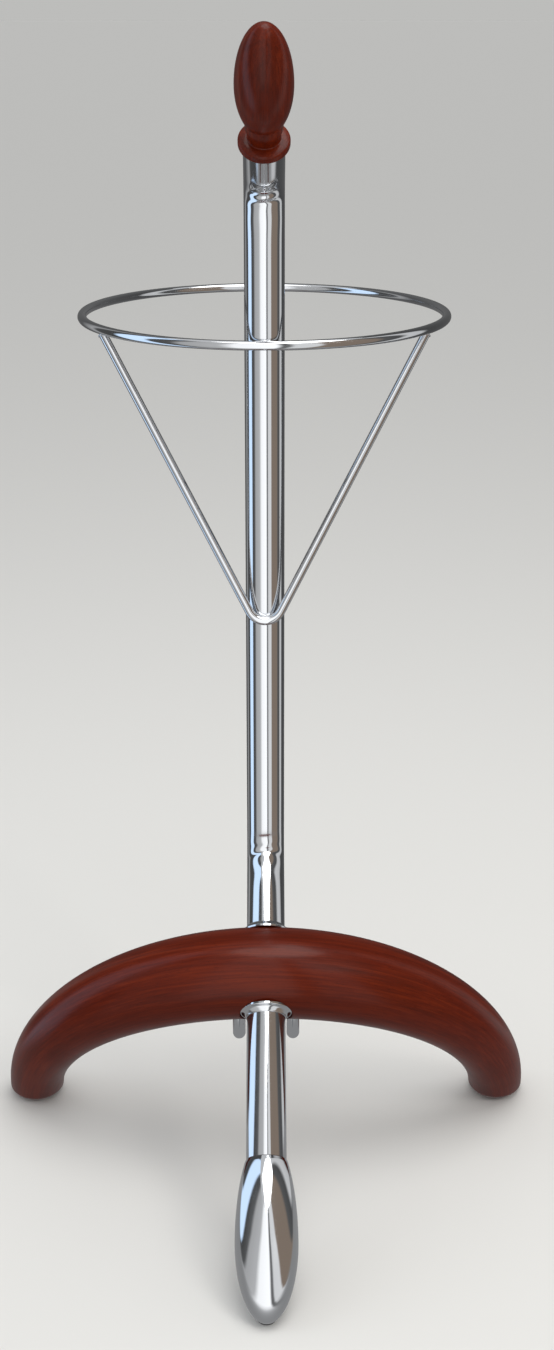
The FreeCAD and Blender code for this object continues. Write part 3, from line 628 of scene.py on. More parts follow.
def zinc_plate(scene):
    """Blue-bright zinc on turned steel screws: a greyer metal than chrome, faintly clouded."""
    material, tree, shader, place = start_material("Zinc plated steel")
    if tree is None:
        return material
    cloud = add(tree, "ShaderNodeTexNoise", {"Vector": place, "Scale": 1 / (4 * MM), "Detail": 5.0})
    darker = [channel * 0.6 for channel in scene.valet_finish.zinc]
    tint = add(tree, "ShaderNodeValToRGB", {"Fac": cloud}, [(0.3, darker), (0.7, scene.valet_finish.zinc)])
    rough = add(tree, "ShaderNodeMapRange", {"Value": cloud, "To Min": 0.22, "To Max": 0.45})
    feed(tree, shader, {"Base Color": tint, "Metallic": 1.0, "Roughness": rough})
    return material


def moulded_black(scene, name, grit_mm, roughness):
    """Black moulded plastic or rubber: a fine spark-eroded grain and a dull, even sheen."""
    material, tree, shader, place = start_material(name)
    if tree is None:
        return material
    grit = add(tree, "ShaderNodeTexNoise", {"Vector": place, "Scale": 1 / (grit_mm * MM), "Detail": 3.0})
    lighter = [channel * 2.2 for channel in scene.valet_finish.moulding]
    tint = add(tree, "ShaderNodeValToRGB", {"Fac": grit}, [
        (0.35, scene.valet_finish.moulding), (0.75, lighter),
    ])
    rough = add(tree, "ShaderNodeMapRange", {
        "Value": grit, "To Min": roughness - 0.08, "To Max": roughness + 0.08,
    })
    bump = add(tree, "ShaderNodeBump", {"Height": grit, "Strength": 0.4, "Distance": 0.05 * MM})
    feed(tree, shader, {"Base Color": tint, "Roughness": rough, "Normal": bump})
    return material


def black_plastic(scene):
    return moulded_black(scene, "Moulded black polyamide", 0.4, 0.5)


def black_rubber(scene):
    return moulded_black(scene, "Black rubber", 0.7, 0.75)


# ---------------------------------------------------------------- pieces


def bent_path(corners, radius, step_degrees=1.2):
    """Points along straight runs whose corners are rounded by arcs of one radius."""
    points = [corners[0]]
    for before, corner, after in zip(corners, corners[1:], corners[2:]):
        back = (before - corner).normalized()
        on = (after - corner).normalized()
        half = (pi - back.angle(on)) / 2
        middle = corner + (back + on).normalized() * radius / cos(half)
        start = corner + back * radius * tan(half) - middle
        turn_axis = (-back).cross(on).normalized()
        steps = max(8, round(2 * half / radians(step_degrees)))
        # Closely spaced points before and after the arc let the wall fold there.
        points.extend(middle + start + back * d * MM for d in reversed(RIPPLE_STEPS))
        points.extend(
            middle + Matrix.Rotation(2 * half * n / steps, 3, turn_axis) @ start for n in range(steps + 1)
        )
        end = middle + Matrix.Rotation(2 * half, 3, turn_axis) @ start
        points.extend(end + on * d * MM for d in RIPPLE_STEPS)
    points.append(corners[-1])
    return points


def crimp(thing, corner, back, on, radius, tube_radius):
    """Fold the wall on the inside of a tight bend, where the metal was squeezed together."""
    half = (pi - back.angle(on)) / 2
    inwards = (back + on).normalized()
    middle = corner + inwards * radius / cos(half)
    side = (on - back).normalized()
    inner_radius = radius - tube_radius
    for vertex in thing.data.vertices:
        away = vertex.co - middle
        flat = Vector((0, away.y, away.z))
        turn = atan2(flat.dot(side), -flat.dot(inwards))
        if abs(turn) <= half:
            towards = -flat.normalized()
            inner = (radius - flat.length) / tube_radius
            place = turn * inner_radius
        else:
            leg = on if turn > 0 else back
            towards = (inwards - leg * inwards.dot(leg)).normalized()
            inner = (vertex.co - corner).dot(towards) / tube_radius
            past = (vertex.co - corner).dot(leg) - radius * tan(half)
            place = copysign(half * inner_radius + past, turn)
        if inner <= 0 or abs(place) > FOLD_REACH:
            continue
        place += FOLD_WANDER * sin(away.x / tube_radius * 2.6 + 0.6)
        height = sum(high * exp(-((place / MM - spot) / wide) ** 2) for spot, wide, high in BEND_FOLDS)
        vertex.co += towards * height * MM * inner ** 1.8
    return thing


class Piece:
    """What the operators share: each builds its piece in the scene, and is then finished."""

    def execute(self, context):
        self.build(context.scene)
        return {"FINISHED"}


class VALET_OT_tube(Piece, bpy.types.Operator):
    """Bend and plate the one tube that runs from the toe to the grip"""

    bl_idname = "valet.tube"
    bl_label = "Bent tube"

    def build(self, scene):
        tube = scene.valet_tube
        radius = TUBE_DIA / 2
        low_corner = Vector((0, POST_Y, tube.lower_bend))
        high_corner = Vector((0, POST_Y, tube.upper_bend))
        low_end = along_run(scene, toe_distance(scene) - tube.toe_shank).translation
        high_end = along_grip(scene, tube.grip_seat).translation
        path = bent_path([high_end, high_corner, low_corner, low_end], tube.bend_radius)
        pipe = line_object("bent_tube", [path])
        grown(pipe, sweep_tree(), {
            "Radius": radius, "Sides": 128, "Caps": False, "Material": chrome_plate(scene),
        })
        down = Vector((0, 0, -1))
        crimp(pipe, high_corner, (high_end - high_corner).normalized(), down, tube.bend_radius, radius)
        crimp(pipe, low_corner, -down, (low_end - low_corner).normalized(), tube.bend_radius, radius)
        tidy(pipe)
        wall = pipe.modifiers.new("Wall", "SOLIDIFY")
        wall.thickness = tube.wall
        wall.offset = -1
        pipe.data = evaluated_mesh(pipe)
        pipe.modifiers.clear()
        soften(pipe, 50)
        settle(pipe, "chromed_tube", "main_tube")


def brace_lines(scene):
    """The brace's centre line: two straight legs and a tight bend against the post."""
    rods = scene.valet_rods
    foot = Vector((0, POST_Y - (TUBE_DIA + rods.brace_dia) / 2, rods.brace_height))
    tip = RING_CENTRE + Vector((
        RING_RADIUS * sin(rods.spread), -RING_RADIUS * cos(rods.spread), 0,
    ))
    rise = tip - foot
    up = Vector((0, rise.y, rise.z)).normalized()
    tall = hypot(rise.y, rise.z) - rods.brace_bend
    reach = hypot(rise.x, tall)
    leg = atan2(tall, rise.x) + asin(rods.brace_bend / reach)
    points = []
    for n in range(-32, 33):
        turn = leg * n / 32
        across = rods.brace_bend * sin(turn)
        high = rods.brace_bend * (1 - cos(turn))
        points.append(foot + X_AXIS * across + up * high)
    left_tip = Vector((-tip.x, tip.y, tip.z))
    return [left_tip, *points, tip]


class VALET_OT_rods(Piece, bpy.types.Operator):
    """Bend the garment ring and the brace from plated rod"""

    bl_idname = "valet.rods"
    bl_label = "Garment ring and brace"

    def build(self, scene):
        plate = chrome_plate(scene)
        hoop = [RING_CENTRE + RING_RADIUS * Vector((s, c, 0)) for c, s in around(240)]
        ring = line_object("ring_hoop", [hoop])
        grown(ring, sweep_tree(), {
            "Radius": RING_ROD_DIA / 2, "Sides": 48, "Caps": False, "Material": plate,
        })
        settle(soften(tidy(ring, 0.00003)), "chromed_rod", "garment_ring")
        rod_radius = scene.valet_rods.brace_dia / 2
        points = brace_lines(scene)
        # Each leg stops at the ring's underside, inside its weld.
        stop = RING_ROD_DIA / 2 - 0.5 * MM
        points[0] += (points[1] - points[0]).normalized() * stop
        points[-1] += (points[-2] - points[-1]).normalized() * stop
        brace = line_object("brace_vee", [points])
        grown(brace, sweep_tree(), {"Radius": rod_radius, "Sides": 48, "Caps": True, "Material": plate})
        settle(soften(tidy(brace)), "chromed_rod", "brace_rod")


def joint_line(height, rod_radius):
    """The line round the spot where a rod touches the front of the post."""
    points = []
    for cosine, sine in around(40):
        across = 1.25 * rod_radius * cosine
        up = 0.75 * rod_radius * sine
        depth = sqrt((TUBE_DIA / 2) ** 2 - across ** 2)
        points.append(Vector((across, POST_Y - depth - 0.3 * MM, height + up)))
    return points


class VALET_OT_welds(Piece, bpy.types.Operator):
    """Lay the weld beads that hold the rods to the post and to each other"""

    bl_idname = "valet.welds"
    bl_label = "Weld beads"

    def build(self, scene):
        rods = scene.valet_rods
        plate = chrome_plate(scene)
        tree = bead_tree()
        line = joint_line(RING_CENTRE.z, RING_ROD_DIA / 2)
        self.lay("ring_bead", [line], tree, plate, rods.bead, "ring_weld")
        line = joint_line(rods.brace_height, rods.brace_dia / 2)
        self.lay("brace_bead", [line], tree, plate, rods.bead, "brace_weld")
        points = brace_lines(scene)
        loops = [self.tip_line(points[0], points[1], rods), self.tip_line(points[-1], points[-2], rods)]
        self.lay("tip_welds", loops, tree, plate, rods.bead * 0.8, "brace_tip_welds")

    def tip_line(self, tip, inner, rods):
        """The line round a leg where it meets the ring's underside."""
        along = (inner - tip).normalized()
        across = along.cross(Vector((0, 0, 1))).normalized()
        other = along.cross(across)
        centre = tip + along * (RING_ROD_DIA / 2 + 0.6 * MM)
        radius = rods.brace_dia / 2 - 0.2 * MM
        return [centre + radius * (across * c + other * s) for c, s in around(36)]

    def lay(self, name, lines, tree, plate, bead, node_name):
        thing = line_object(name, lines)
        grown(thing, tree, {"Bead": bead, "Step": bead * 0.3, "Seed": 7, "Material": plate})
        settle(soften(thing), "chromed_rod", node_name)


def grain_attribute(thing, to_grain):
    """Store where each vertex lies in the timber: along the grain, across it and through it."""
    attribute = thing.data.attributes.new("grain", "FLOAT_VECTOR", "POINT")
    for vertex, stored in zip(thing.data.vertices, attribute.data):
        stored.vector = to_grain(vertex.co)


class VALET_OT_arch(Piece, bpy.types.Operator):
    """Shape the wooden arch, cut its feet and bore it for the tube"""

    bl_idname = "valet.arch"
    bl_label = "Wooden arch"

    def build(self, scene):
        arch = scene.valet_arch
        wood = line_object("wooden_arch", [[Vector(), X_AXIS]])
        grown(wood, horn_tree(), {
            "Arch radius": arch.radius, "Crown radius": arch.crown_dia / 2,
            "Foot radius": arch.foot_dia / 2, "Swell": arch.swell, "Past": radians(10),
            "Material": lacquered_mahogany(scene),
        })
        stand_up = Matrix.Translation((0, 0, -arch.drop)) @ Matrix.Rotation(pi / 2, 4, X_AXIS)
        plane = arch_matrix(scene) @ stand_up
        wood.data.transform(plane)
        self.cut_feet(wood, arch.foot_edge)
        tidy(wood)
        middle = crown_distance(scene)
        seat = arch.crown_dia / 2 - arch.seat_depth
        loose = 0.3 * MM
        clear = 100 * MM
        ring = arch.collar_dia / 2 + loose
        tools = [
            rod_cutter(TUBE_DIA / 2 + loose, -clear, clear, along_run(scene, middle)),
            rod_cutter(ring, seat, seat + SEAT_CUT, along_run(scene, middle)),
            rod_cutter(ring, -seat - SEAT_CUT, -seat, along_run(scene, middle)),
        ]
        low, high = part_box("crown_nuts")
        for side in (-1, 1):
            x = side * (high.x - arch.nut_dia / 2)
            nut = Matrix.Translation((x, (low.y + high.y) / 2, 0))
            nut_loose = 0.1 * MM
            tools.append(rod_cutter(arch.nut_dia / 2 + nut_loose, NUT_CUT_START, high.z, nut, 64))
        self.lock_holes(scene, tools)
        carve(wood, tools)
        tidy(wood)
        back = plane.inverted()

        def to_grain(point):
            local = back @ point
            turn = atan2(local.y, local.x)
            return (turn * arch.radius, hypot(local.x, local.y) - arch.radius, local.z)

        grain_attribute(wood, to_grain)
        settle(soften(wood, 40), "lacquered_wood", "base_arch")

    def cut_feet(self, wood, edge):
        """Cut both feet level with the tops of their glides and round their edges."""
        shape = bmesh.new()
        shape.from_mesh(tidy(wood).data)
        cuts = 10
        for n in range(cuts + 1):
            height = GLIDE_DEPTH + edge * (1 - cos(pi / 2 * n / cuts))
            everything = shape.verts[:] + shape.edges[:] + shape.faces[:]
            cut = bmesh.ops.bisect_plane(
                shape, geom=everything, plane_co=(0, 0, height), plane_no=(0, 0, -1),
                clear_outer=n == 0, dist=1e-7,
            )
            if n == 0:
                rim = [item for item in cut["geom_cut"] if isinstance(item, bmesh.types.BMEdge)]
        bmesh.ops.holes_fill(shape, edges=rim, sides=0)
        shape.normal_update()
        rounded = [vertex for vertex in shape.verts if vertex.co.z < GLIDE_DEPTH + edge]
        outwards = [Vector((vertex.normal.x, vertex.normal.y, 0)).normalized() for vertex in rounded]
        for vertex, out in zip(rounded, outwards):
            left = edge - (vertex.co.z - GLIDE_DEPTH)
            vertex.co -= out * (edge - sqrt(max(0, edge ** 2 - left ** 2)))
        shape.to_mesh(wood.data)
        shape.free()

    def lock_holes(self, scene, tools):
        """Add the cutters for the lock screw's hole and for the well its head sits in."""
        place = lock_matrix(scene)
        head = scene.valet_arch.crown_dia / 2 - LOCK_HEAD_SUNK
        well_radius, well_end = 5.8 * MM, 80 * MM
        hole_radius, hole_end = 3.05 * MM, 60 * MM
        tools.append(rod_cutter(well_radius, head, well_end, place, 64))
        tools.append(rod_cutter(hole_radius, 0, hole_end, place, 48))


def smooth_outline(points, steps=10):
    """A soft line through the given points, as a turner's chisel leaves it."""
    ends = [points[0], *points, points[-1]]
    line = []
    for before, start, stop, after in zip(ends, ends[1:], ends[2:], ends[3:]):
        for step in range(steps):
            t = step / steps
            line.append(tuple(
                0.5 * (2 * s + (e - b) * t + (2 * b - 5 * s + 4 * e - a) * t ** 2
                       + (3 * s - b - 3 * e + a) * t ** 3)
                for b, s, e, a in zip(before, start, stop, after)
            ))
    line.append(tuple(points[-1]))
    return line


class VALET_OT_collars(Piece, bpy.types.Operator):
    """Turn the two flared trim rings that close the arch's bore"""

    bl_idname = "valet.collars"
    bl_label = "Trim rings"

    def build(self, scene):
        arch = scene.valet_arch
        inner = TUBE_DIA / 2 + 0.03 * MM
        rim = arch.collar_dia / 2
        tall = arch.collar_depth
        bead = 0.8 * MM
        skirt = 2.6 * MM
        outline = [(inner, 0), (rim - 0.3 * MM, 0), (rim, 0.3 * MM), (rim, skirt - bead)]
        outline += arc_points((rim - bead, skirt - bead), bead, 0, 100, 10)
        outline += smooth_outline([
            (rim - 1.6 * bead, skirt - 0.1 * MM), (rim - 2.4 * MM, skirt + 0.35 * MM),
            (rim - 3.7 * MM, skirt + 1.5 * MM), (inner + 1.1 * MM, 0.84 * tall),
            (inner + 0.75 * MM, 0.95 * tall),
        ])
        outline += arc_points((inner + 0.4 * MM, 0.95 * tall), 0.35 * MM, 10, 90, 5)
        outline += [(inner, 0.99 * tall)]
        plate = chrome_plate(scene)
        seat = arch.crown_dia / 2 - arch.seat_depth
        middle = crown_distance(scene)
        flip = Matrix.Rotation(pi, 4, X_AXIS)
        front = lathe("front_trim_ring", outline, plate, along_run(scene, middle + seat))
        rear = lathe("rear_trim_ring", outline, plate, along_run(scene, middle - seat) @ flip)
        settle(front, "chromed_fittings", "front_collar")
        settle(rear, "chromed_fittings", "rear_collar")


def pair_tree():
    """Sets the object's mesh down on both sides of the stand's middle."""
    tree, start = geometry_tree("Pair", {
        "Spread": ("NodeSocketFloat", 0.05),
        "Material": ("NodeSocketMaterial", None),
    })
    half = add(tree, "ShaderNodeMath", {0: start.outputs["Spread"], 1: -0.5}, operation="MULTIPLY")
    left = add(tree, "ShaderNodeCombineXYZ", {"X": half})
    across = add(tree, "ShaderNodeCombineXYZ", {"X": start.outputs["Spread"]})
    places = add(tree, "GeometryNodeMeshLine", {
        "Count": 2, "Start Location": left, "Offset": across,
    })
    both = add(tree, "GeometryNodeInstanceOnPoints", {
        "Points": places, "Instance": start.outputs["Geometry"],
    })
    return end_tree(tree, start, both)


class VALET_OT_fasteners(Piece, bpy.types.Operator):
    """Make the two sleeve nuts under the crown and the screw that locks the tube"""

    bl_idname = "valet.fasteners"
    bl_label = "Sleeve nuts and lock screw"

    def build(self, scene):
        low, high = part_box("crown_nuts")
        radius = scene.valet_arch.nut_dia / 2
        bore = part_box("crown_bolts")[1].x - high.x + radius
        outline = [(0, low.z)]
        outline += arc_points((0, low.z + radius), radius, -88, -2, 18)
        outline += [
            (radius, high.z - 1 * MM), (radius - 0.4 * MM, high.z), (bore + 0.05 * MM, high.z),
            (bore + 0.05 * MM, high.z - NUT_BORE_DEPTH), (0, high.z - NUT_BORE_DEPTH),
        ]
        turned = Matrix.Translation((0, (low.y + high.y) / 2, 0))
        nuts = lathe("sleeve_nuts", outline, None, turned, 64)
        nuts.data.materials.clear()
        grown(nuts, pair_tree(), {
            "Spread": 2 * (high.x - radius), "Material": chrome_plate(scene),
        })
        settle(soften(nuts), "chromed_fittings", "crown_nuts")
        self.lock_screw(scene)

    def lock_screw(self, scene):
        """A socket screw whose round head lies sunk in the crown's underside."""
        place = lock_matrix(scene)
        tip = TUBE_DIA / 2 + 0.05 * MM
        head = scene.valet_arch.crown_dia / 2 - LOCK_HEAD_SUNK
        shank, wide, top = 3.0 * MM, 5.5 * MM, head + 3.95 * MM
        outline = [
            (0, tip), (2.6 * MM, tip), (shank, tip + 0.5 * MM), (shank, head),
            (5.3 * MM, head), (wide, head + 0.3 * MM), (wide, head + 3.5 * MM),
            (5.1 * MM, top), (0, top),
        ]
        screw = lathe("lock_screw", outline, zinc_plate(scene), place, 96)
        socket = rod_cutter(2.9 * MM, head + 1.8 * MM, head + 6 * MM, place, 6)
        carve(screw, [socket])
        settle(soften(tidy(screw)), "plated_screws", "tube_lock_screw")


class VALET_OT_toe(Piece, bpy.types.Operator):
    """Turn the plated toe cap and its rubber pad"""

    bl_idname = "valet.toe"
    bl_label = "Toe cap and pad"

    def build(self, scene):
        tube = scene.valet_tube
        widest = tube.toe_dia / 2
        neck = TUBE_DIA / 2 + 0.5 * MM
        shank_half = tube.toe_shank / sqrt(1 - (neck / widest) ** 2)
        lip = 0.9 * MM
        start = -tube.toe_shank
        bottom = start + STUD_BORE_DEPTH
        outline = [(0, bottom), (STUD_BORE, bottom), (STUD_BORE, start), (neck - lip, start)]
        outline += arc_points((neck - lip, start + lip), lip, -90, -10, 8)
        steps = 56
        for n in range(1, steps + 1):
            along = start + 1.6 * MM + (tube.toe_shank - 1.6 * MM) * n / steps
            outline.append((widest * sqrt(1 - (along / shank_half) ** 2), along))
        for n in range(1, steps):
            turn = pi / 2 * n / steps
            outline.append((widest * cos(turn), tube.toe_nose * sin(turn)))
        outline.append((0, tube.toe_nose))
        cap = lathe("toe_egg", outline, chrome_plate(scene), along_run(scene, toe_distance(scene)), 160)
        low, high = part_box("toe_pad")
        centre = (low + high) / 2
        pad_radius = (high.x - low.x) / 2
        pad_place = Matrix.Translation((0, centre.y, 0))
        carve(cap, [rod_cutter(pad_radius + 0.05 * MM, -0.01, high.z, pad_place, 96)])
        settle(soften(tidy(cap)), "chromed_fittings", "toe_cap")
        edge = 0.4 * MM
        pad_outline = [(0, 0), (pad_radius - edge, 0)]
        pad_outline += arc_points((pad_radius - edge, edge), edge, -90, 0, 5)
        pad_outline += [(pad_radius, high.z - edge), (pad_radius - edge, high.z), (0, high.z)]
        pad = lathe("toe_rubber", pad_outline, black_rubber(scene), pad_place, 96)
        settle(pad, "rubber_pad", "toe_pad")


class VALET_OT_grip(Piece, bpy.types.Operator):
    """Turn the wooden grip: a flange, a slim neck and an egg in one soft line"""

    bl_idname = "valet.grip"
    bl_label = "Grip"

    def build(self, scene):
        grip = scene.valet_grip
        flange = grip.flange_dia / 2
        deep = grip.flange_depth
        neck = grip.neck_dia / 2
        egg = grip.egg_dia / 2
        under = 0.36 * deep
        upper = 0.22 * deep
        outline = [(0, STUD_BORE_DEPTH), (STUD_BORE, STUD_BORE_DEPTH), (STUD_BORE, 0), (flange - under, 0)]
        outline += arc_points((flange - under, under), under, -84, 0, 10)
        outline += arc_points((flange - upper, deep - 1.2 * MM - upper), upper, 0, 80, 10)
        # The flange's top slopes up a little to a crisp corner at the neck.
        outline += [(neck + 5 * MM, deep - 0.45 * MM), (neck + 1.0 * MM, deep - 0.05 * MM)]
        outline += arc_points((neck + 1.0 * MM, deep + 0.95 * MM), 1.0 * MM, 262, 184, 7)
        # The neck runs into the egg where the egg is a little thicker than the neck.
        join = radians(-47)
        egg_start = (egg * cos(join), grip.egg_centre + grip.egg_low * sin(join))
        outline += smooth_outline([
            (neck, deep + 1.6 * MM), (neck + 0.4 * MM, deep + 5.0 * MM),
            (neck + 1.9 * MM, deep + 11.0 * MM), egg_start,
        ], 12)[:-1]
        steps = 96
        for n in range(steps):
            turn = join + (pi / 2 - join) * n / steps
            half = grip.egg_top if turn > 0 else grip.egg_low
            outline.append((egg * cos(turn), grip.egg_centre + half * sin(turn)))
        outline.append((0, grip.egg_centre + grip.egg_top))
        place = along_grip(scene, scene.valet_tube.grip_seat)
        thing = lathe("turned_grip", outline, lacquered_mahogany(scene), place, 128)
        back = place.inverted()

        def to_grain(point):
            local = back @ point
            return (local.z, local.x, local.y)

        grain_attribute(thing, to_grain)
        settle(thing, "lacquered_wood", "grip")


class VALET_OT_glides(Piece, bpy.types.Operator):
    """Make the glides under the wooden feet and the nails that hold them"""

    bl_idname = "valet.glides"
    bl_label = "Glides and nails"

    def build(self, scene):
        for node_name, name in (("foot_glide_left", "left_glide"), ("foot_glide_right", "right_glide")):
            low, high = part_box(node_name)
            radius = (high.x - low.x) / 2
            edge = 0.6 * MM
            well, floor, hole = 3.6 * MM, 1.4 * MM, 1.4 * MM
            outline = [(well, floor), (well, 0.2 * MM), (3.8 * MM, 0), (radius - edge, 0)]
            outline += arc_points((radius - edge, edge), edge, -80, 0, 6)
            outline += [
                (radius, high.z - 0.2 * MM), (radius - 0.2 * MM, high.z), (hole, high.z), (hole, floor),
            ]
            place = Matrix.Translation(((low.x + high.x) / 2, (low.y + high.y) / 2, 0))
            glide = lathe(name, outline, black_plastic(scene), place, 96)
            settle(glide, "black_plastic", node_name)
        low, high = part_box("glide_nails")
        centre_x = (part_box("foot_glide_right")[0].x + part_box("foot_glide_right")[1].x) / 2
        head = high.x - centre_x
        shank = 1.3 * MM
        outline = [(0, low.z)]
        outline += arc_points((0, low.z + 6 * MM), 6 * MM, -80, -58, 6)
        outline += [
            (head, low.z + 0.9 * MM), (head - 0.3 * MM, low.z + 1 * MM), (shank, low.z + 1 * MM),
            (shank, high.z - 2.6 * MM), (0, high.z),
        ]
        nails = lathe("foot_nails", outline, None, Matrix.Translation((0, FOOT.y, 0)), 48)
        nails.data.materials.clear()
        grown(nails, pair_tree(), {"Spread": 2 * centre_x, "Material": zinc_plate(scene)})
        settle(soften(nails), "plated_screws", "glide_nails")


class VALET_OT_inner_parts(Piece, bpy.types.Operator):
    """Give the plugs, studs and bolts inside the stand their own finishes"""

    bl_idname = "valet.inner_parts"
    bl_label = "Inner parts"

    def build(self, scene):
        finishes = {
            "crown_bolts": zinc_plate, "toe_stud": zinc_plate, "grip_stud": zinc_plate,
            "toe_plug": black_plastic, "grip_plug": black_plastic,
        }
        for node_name, finish in finishes.items():
            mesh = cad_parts[node_name].data
            mesh.materials.clear()
            mesh.materials.append(finish(scene))


FLOOR_HALF = 300
# The glowing bowl that paints the reflections, as radius and height from its middle to its rim.
PAINTED_REFLECTION_PROFILE = [
    (0.0, 0.0008), (0.15, 0.0008), (0.3, 0.0008), (0.46, 0.004), (0.56, 0.03), (0.64, 0.10),
    (0.70, 0.22), (0.74, 0.5), (0.78, 1.9),
]
# Painted reflection tones round the bowl, by degrees from the front: negative to the left. The greys, the
# cool streak and the brownish band are reflections painted into the chrome and the lacquer, not cast by
# any lamp.
PAINTED_REFLECTION_TONES = [
    (-180, "595959"), (-140, "4b4b4b"), (-125, "959595"), (-120, "454545"), (-104, "3f3f3f"),
    (-100, "cee5ff"),
    (-80, "cee5ff"), (-76, "3f3f3f"), (-62, "505050"), (-55, "9e9e9e"), (-30, "adadad"), (-20, "f3f3f3"),
    (8, "ffffff"), (12, "616161"), (16, "616161"), (20, "cbcbcb"), (36, "cecece"), (40, "796c61"),
    (75, "796c61"), (80, "505050"), (92, "454545"), (98, "bcbcbc"), (110, "b3b3b3"), (115, "3f3f3f"),
    (150, "4b4b4b"), (180, "595959"),
]
# Painted floor reflection: a mid-grey that the chrome and the lacquer see near the stand in place of the
# paler real floor.
PAINTED_FLOOR_REFLECTION_TONE = "7e7e7e"
# Each light's name, place, width and height, power in watts and tint.
LIGHTS = [
    ("Overhead", (0.3, -0.35, 2.6), (1.5, 1.5), 24, "fffefc"),
    ("Front right", (1.6, -1.7, 2.3), (0.9, 0.9), 17, "fffcf7"),
    ("Left", (-2.2, -0.4, 1.5), (0.7, 1.9), 8, "eff7ff"),
]
# The camera's focal length in mm, its vertical shift, how far before the post and how high it stands, and
# how many degrees it looks down and to the side.
LENS = 47.43
LENS_SHIFT = -0.0415
EYE_DISTANCE = 1.533
EYE_HEIGHT = 1.023
EYE_DOWN = 18.79
EYE_TURN = -0.403


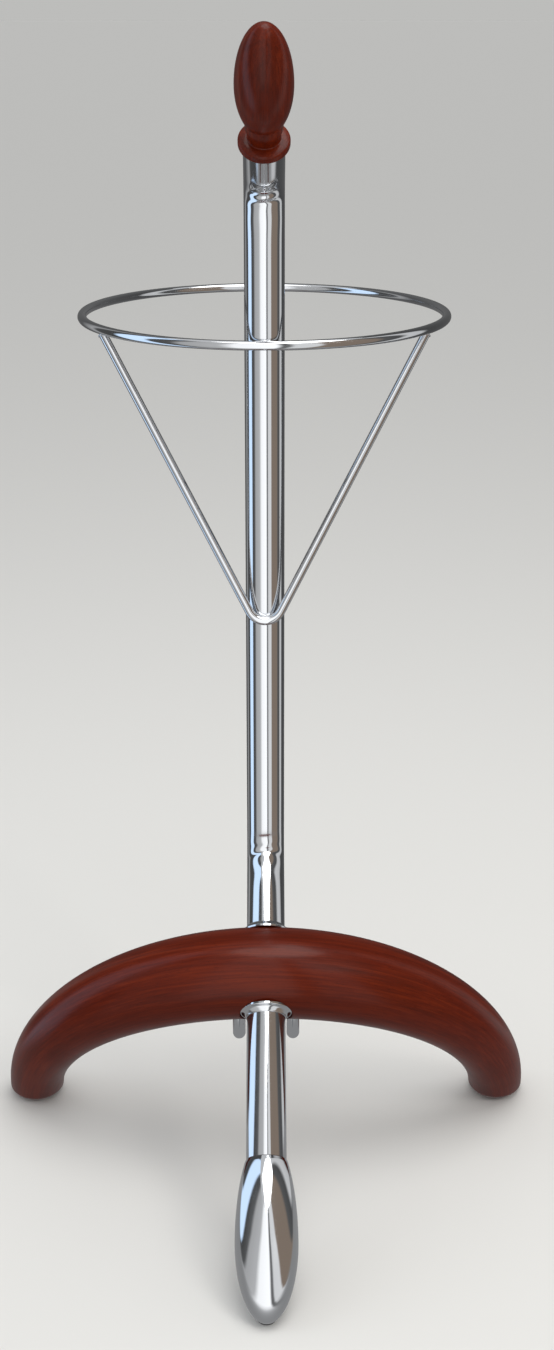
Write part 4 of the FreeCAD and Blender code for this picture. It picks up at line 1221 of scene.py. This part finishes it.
class VALET_OT_stage(Piece, bpy.types.Operator):
    """Set up the floor, the soft lights, the glowing bowl of painted reflections and the camera"""

    bl_idname = "valet.stage"
    bl_label = "Studio"

    def build(self, scene):
        self.floor(scene)
        self.painted_reflection_bowl()
        self.lights()
        self.world(scene)
        self.camera(scene)
        scene.view_settings.view_transform = "Standard"

    def floor(self, scene):
        mesh = bpy.data.meshes.new("Floor")
        corners = [(x * FLOOR_HALF, y * FLOOR_HALF, 0) for x, y in ((-1, -1), (1, -1), (1, 1), (-1, 1))]
        mesh.from_pydata(corners, [], [(0, 1, 2, 3)])
        floor = new_object("Floor", mesh)
        material, tree, shader, _ = start_material("Matt studio floor")
        feed(tree, shader, {
            "Base Color": (*scene.valet_finish.floor, 1.0), "Roughness": 0.85, "Specular IOR Level": 0.15,
        })
        mesh.materials.append(material)

    def painted_reflection_bowl(self):
        """A glowing bowl of pale and dark painted reflections, seen only in the chrome and the lacquer,
        and hidden from the camera, from diffuse light and from shadows.
        """
        points, faces = [], []
        spokes = around(180)[:-1]
        for n, (cosine, sine) in enumerate(spokes):
            points += [(radius * sine, -radius * cosine, height) for radius, height in PAINTED_REFLECTION_PROFILE]
            first, after = n * len(PAINTED_REFLECTION_PROFILE), (n + 1) % len(spokes) * len(PAINTED_REFLECTION_PROFILE)
            faces += [
                (first + k, after + k, after + k + 1, first + k + 1) for k in range(len(PAINTED_REFLECTION_PROFILE) - 1)
            ]
        mesh = bpy.data.meshes.new("Painted reflection bowl")
        mesh.from_pydata(points, [], faces)
        painted_reflection_bowl = new_object("Painted reflection bowl", mesh)
        material = bpy.data.materials.new("Glowing card of painted reflections")
        material.use_nodes = True
        tree = material.node_tree
        tree.nodes.clear()
        place = add(tree, "ShaderNodeTexCoord").outputs["Object"]
        axes = add(tree, "ShaderNodeSeparateXYZ", {"Vector": place})
        behind = add(tree, "ShaderNodeMath", {0: axes.outputs["Y"], 1: -1.0}, operation="MULTIPLY")
        turn = add(tree, "ShaderNodeMath", {0: axes.outputs["X"], 1: behind}, operation="ARCTAN2")
        part = add(tree, "ShaderNodeMapRange", {"Value": turn, "From Min": -pi, "From Max": pi})
        tone = add(tree, "ShaderNodeValToRGB", {"Fac": part}, [
            ((degrees + 180) / 360, srgb(code)) for degrees, code in PAINTED_REFLECTION_TONES
        ])
        flat = add(tree, "ShaderNodeVectorMath", {0: place, 1: (1, 1, 0)}, operation="MULTIPLY")
        # Painted floor reflection: near the stand the bowl takes a mid-grey, so the chrome sees a darker
        # floor than the real one.
        out = add(tree, "ShaderNodeVectorMath", {0: flat}, operation="LENGTH")
        painted_floor_reflection_mask = add(tree, "ShaderNodeMapRange", {
            "Value": out.outputs["Value"], "From Min": 0.32, "From Max": 0.56,
        }, interpolation_type="SMOOTHSTEP")
        shade = add(tree, "ShaderNodeMix", {
            "Factor": painted_floor_reflection_mask, "A": (*srgb(PAINTED_FLOOR_REFLECTION_TONE), 1.0), "B": tone,
        }, data_type="RGBA")
        # The bowl glows, though it is no lamp: its tones are painted reflections.
        card = add(tree, "ShaderNodeEmission", {"Color": shade.outputs["Result"], "Strength": 1.6})
        add(tree, "ShaderNodeOutputMaterial", {"Surface": card})
        mesh.materials.append(material)
        for use in ("camera", "diffuse", "transmission", "volume_scatter", "shadow"):
            setattr(painted_reflection_bowl, "visible_" + use, False)

    def lights(self):
        """Two wide soft lights above and a tall cool one at the left, all turned to the stand's middle."""
        aim = Vector((0, 0, 0.45))
        for name, spot, (wide, tall), watts, tint in LIGHTS:
            lamp = bpy.data.lights.new(name, "AREA")
            lamp.shape = "RECTANGLE"
            lamp.size, lamp.size_y = wide, tall
            lamp.energy = watts
            lamp.color = srgb(tint)
            holder = new_object(name, lamp)
            holder.location = spot
            holder.rotation_euler = (aim - Vector(spot)).to_track_quat("-Z", "Y").to_euler()

    def world(self, scene):
        world = bpy.data.worlds.new("Pale room")
        world.use_nodes = True
        tree = world.node_tree
        way = add(tree, "ShaderNodeTexCoord").outputs["Generated"]
        up = add(tree, "ShaderNodeSeparateXYZ", {"Vector": way})
        tone = add(tree, "ShaderNodeValToRGB", {"Fac": up.outputs["Z"]}, [
            (0.0, srgb("cbcbc9")), (0.06, srgb("cdcdcb")), (0.5, srgb("f0f1f2")),
        ])
        feed(tree, tree.nodes["Background"], {"Color": tone, "Strength": 0.85})
        scene.world = world

    def camera(self, scene):
        eye = bpy.data.cameras.new("Camera")
        eye.lens = LENS
        eye.sensor_width = 36
        eye.shift_y = LENS_SHIFT
        eye.clip_start = 0.02
        holder = new_object("Camera", eye)
        holder.location = (0, POST_Y - EYE_DISTANCE, EYE_HEIGHT)
        holder.rotation_euler = (radians(90 - EYE_DOWN), 0, radians(EYE_TURN))
        scene.camera = holder


class VALET_PT_panel(bpy.types.Panel):
    """Lists the stand's sizes, finishes and pieces"""

    bl_idname = "VALET_PT_panel"
    bl_label = "Valet Stand"
    bl_space_type = "VIEW_3D"
    bl_region_type = "UI"
    bl_category = "Valet Stand"

    def draw(self, context):
        layout = self.layout
        for group_name, group in GROUPS.items():
            box = layout.box()
            box.label(text=group.__doc__)
            for size_name in group.__annotations__:
                box.prop(getattr(context.scene, group_name), size_name)
        for piece in PIECES:
            layout.operator(piece.bl_idname)


PIECES = [
    VALET_OT_tube,
    VALET_OT_rods,
    VALET_OT_welds,
    VALET_OT_arch,
    VALET_OT_collars,
    VALET_OT_fasteners,
    VALET_OT_toe,
    VALET_OT_grip,
    VALET_OT_glides,
    VALET_OT_inner_parts,
    VALET_OT_stage,
]
CLASSES = [*GROUPS.values(), *PIECES, VALET_PT_panel]


def register():
    for kind in CLASSES:
        bpy.utils.register_class(kind)
    for group_name, group in GROUPS.items():
        setattr(bpy.types.Scene, group_name, bpy.props.PointerProperty(type=group))


def unregister():
    for group_name in GROUPS:
        delattr(bpy.types.Scene, group_name)
    for kind in reversed(CLASSES):
        bpy.utils.unregister_class(kind)


def main():
    register()
    for piece in PIECES:
        family, action = piece.bl_idname.split(".")
        getattr(getattr(bpy.ops, family), action)()


if __name__ == "__main__":
    main()
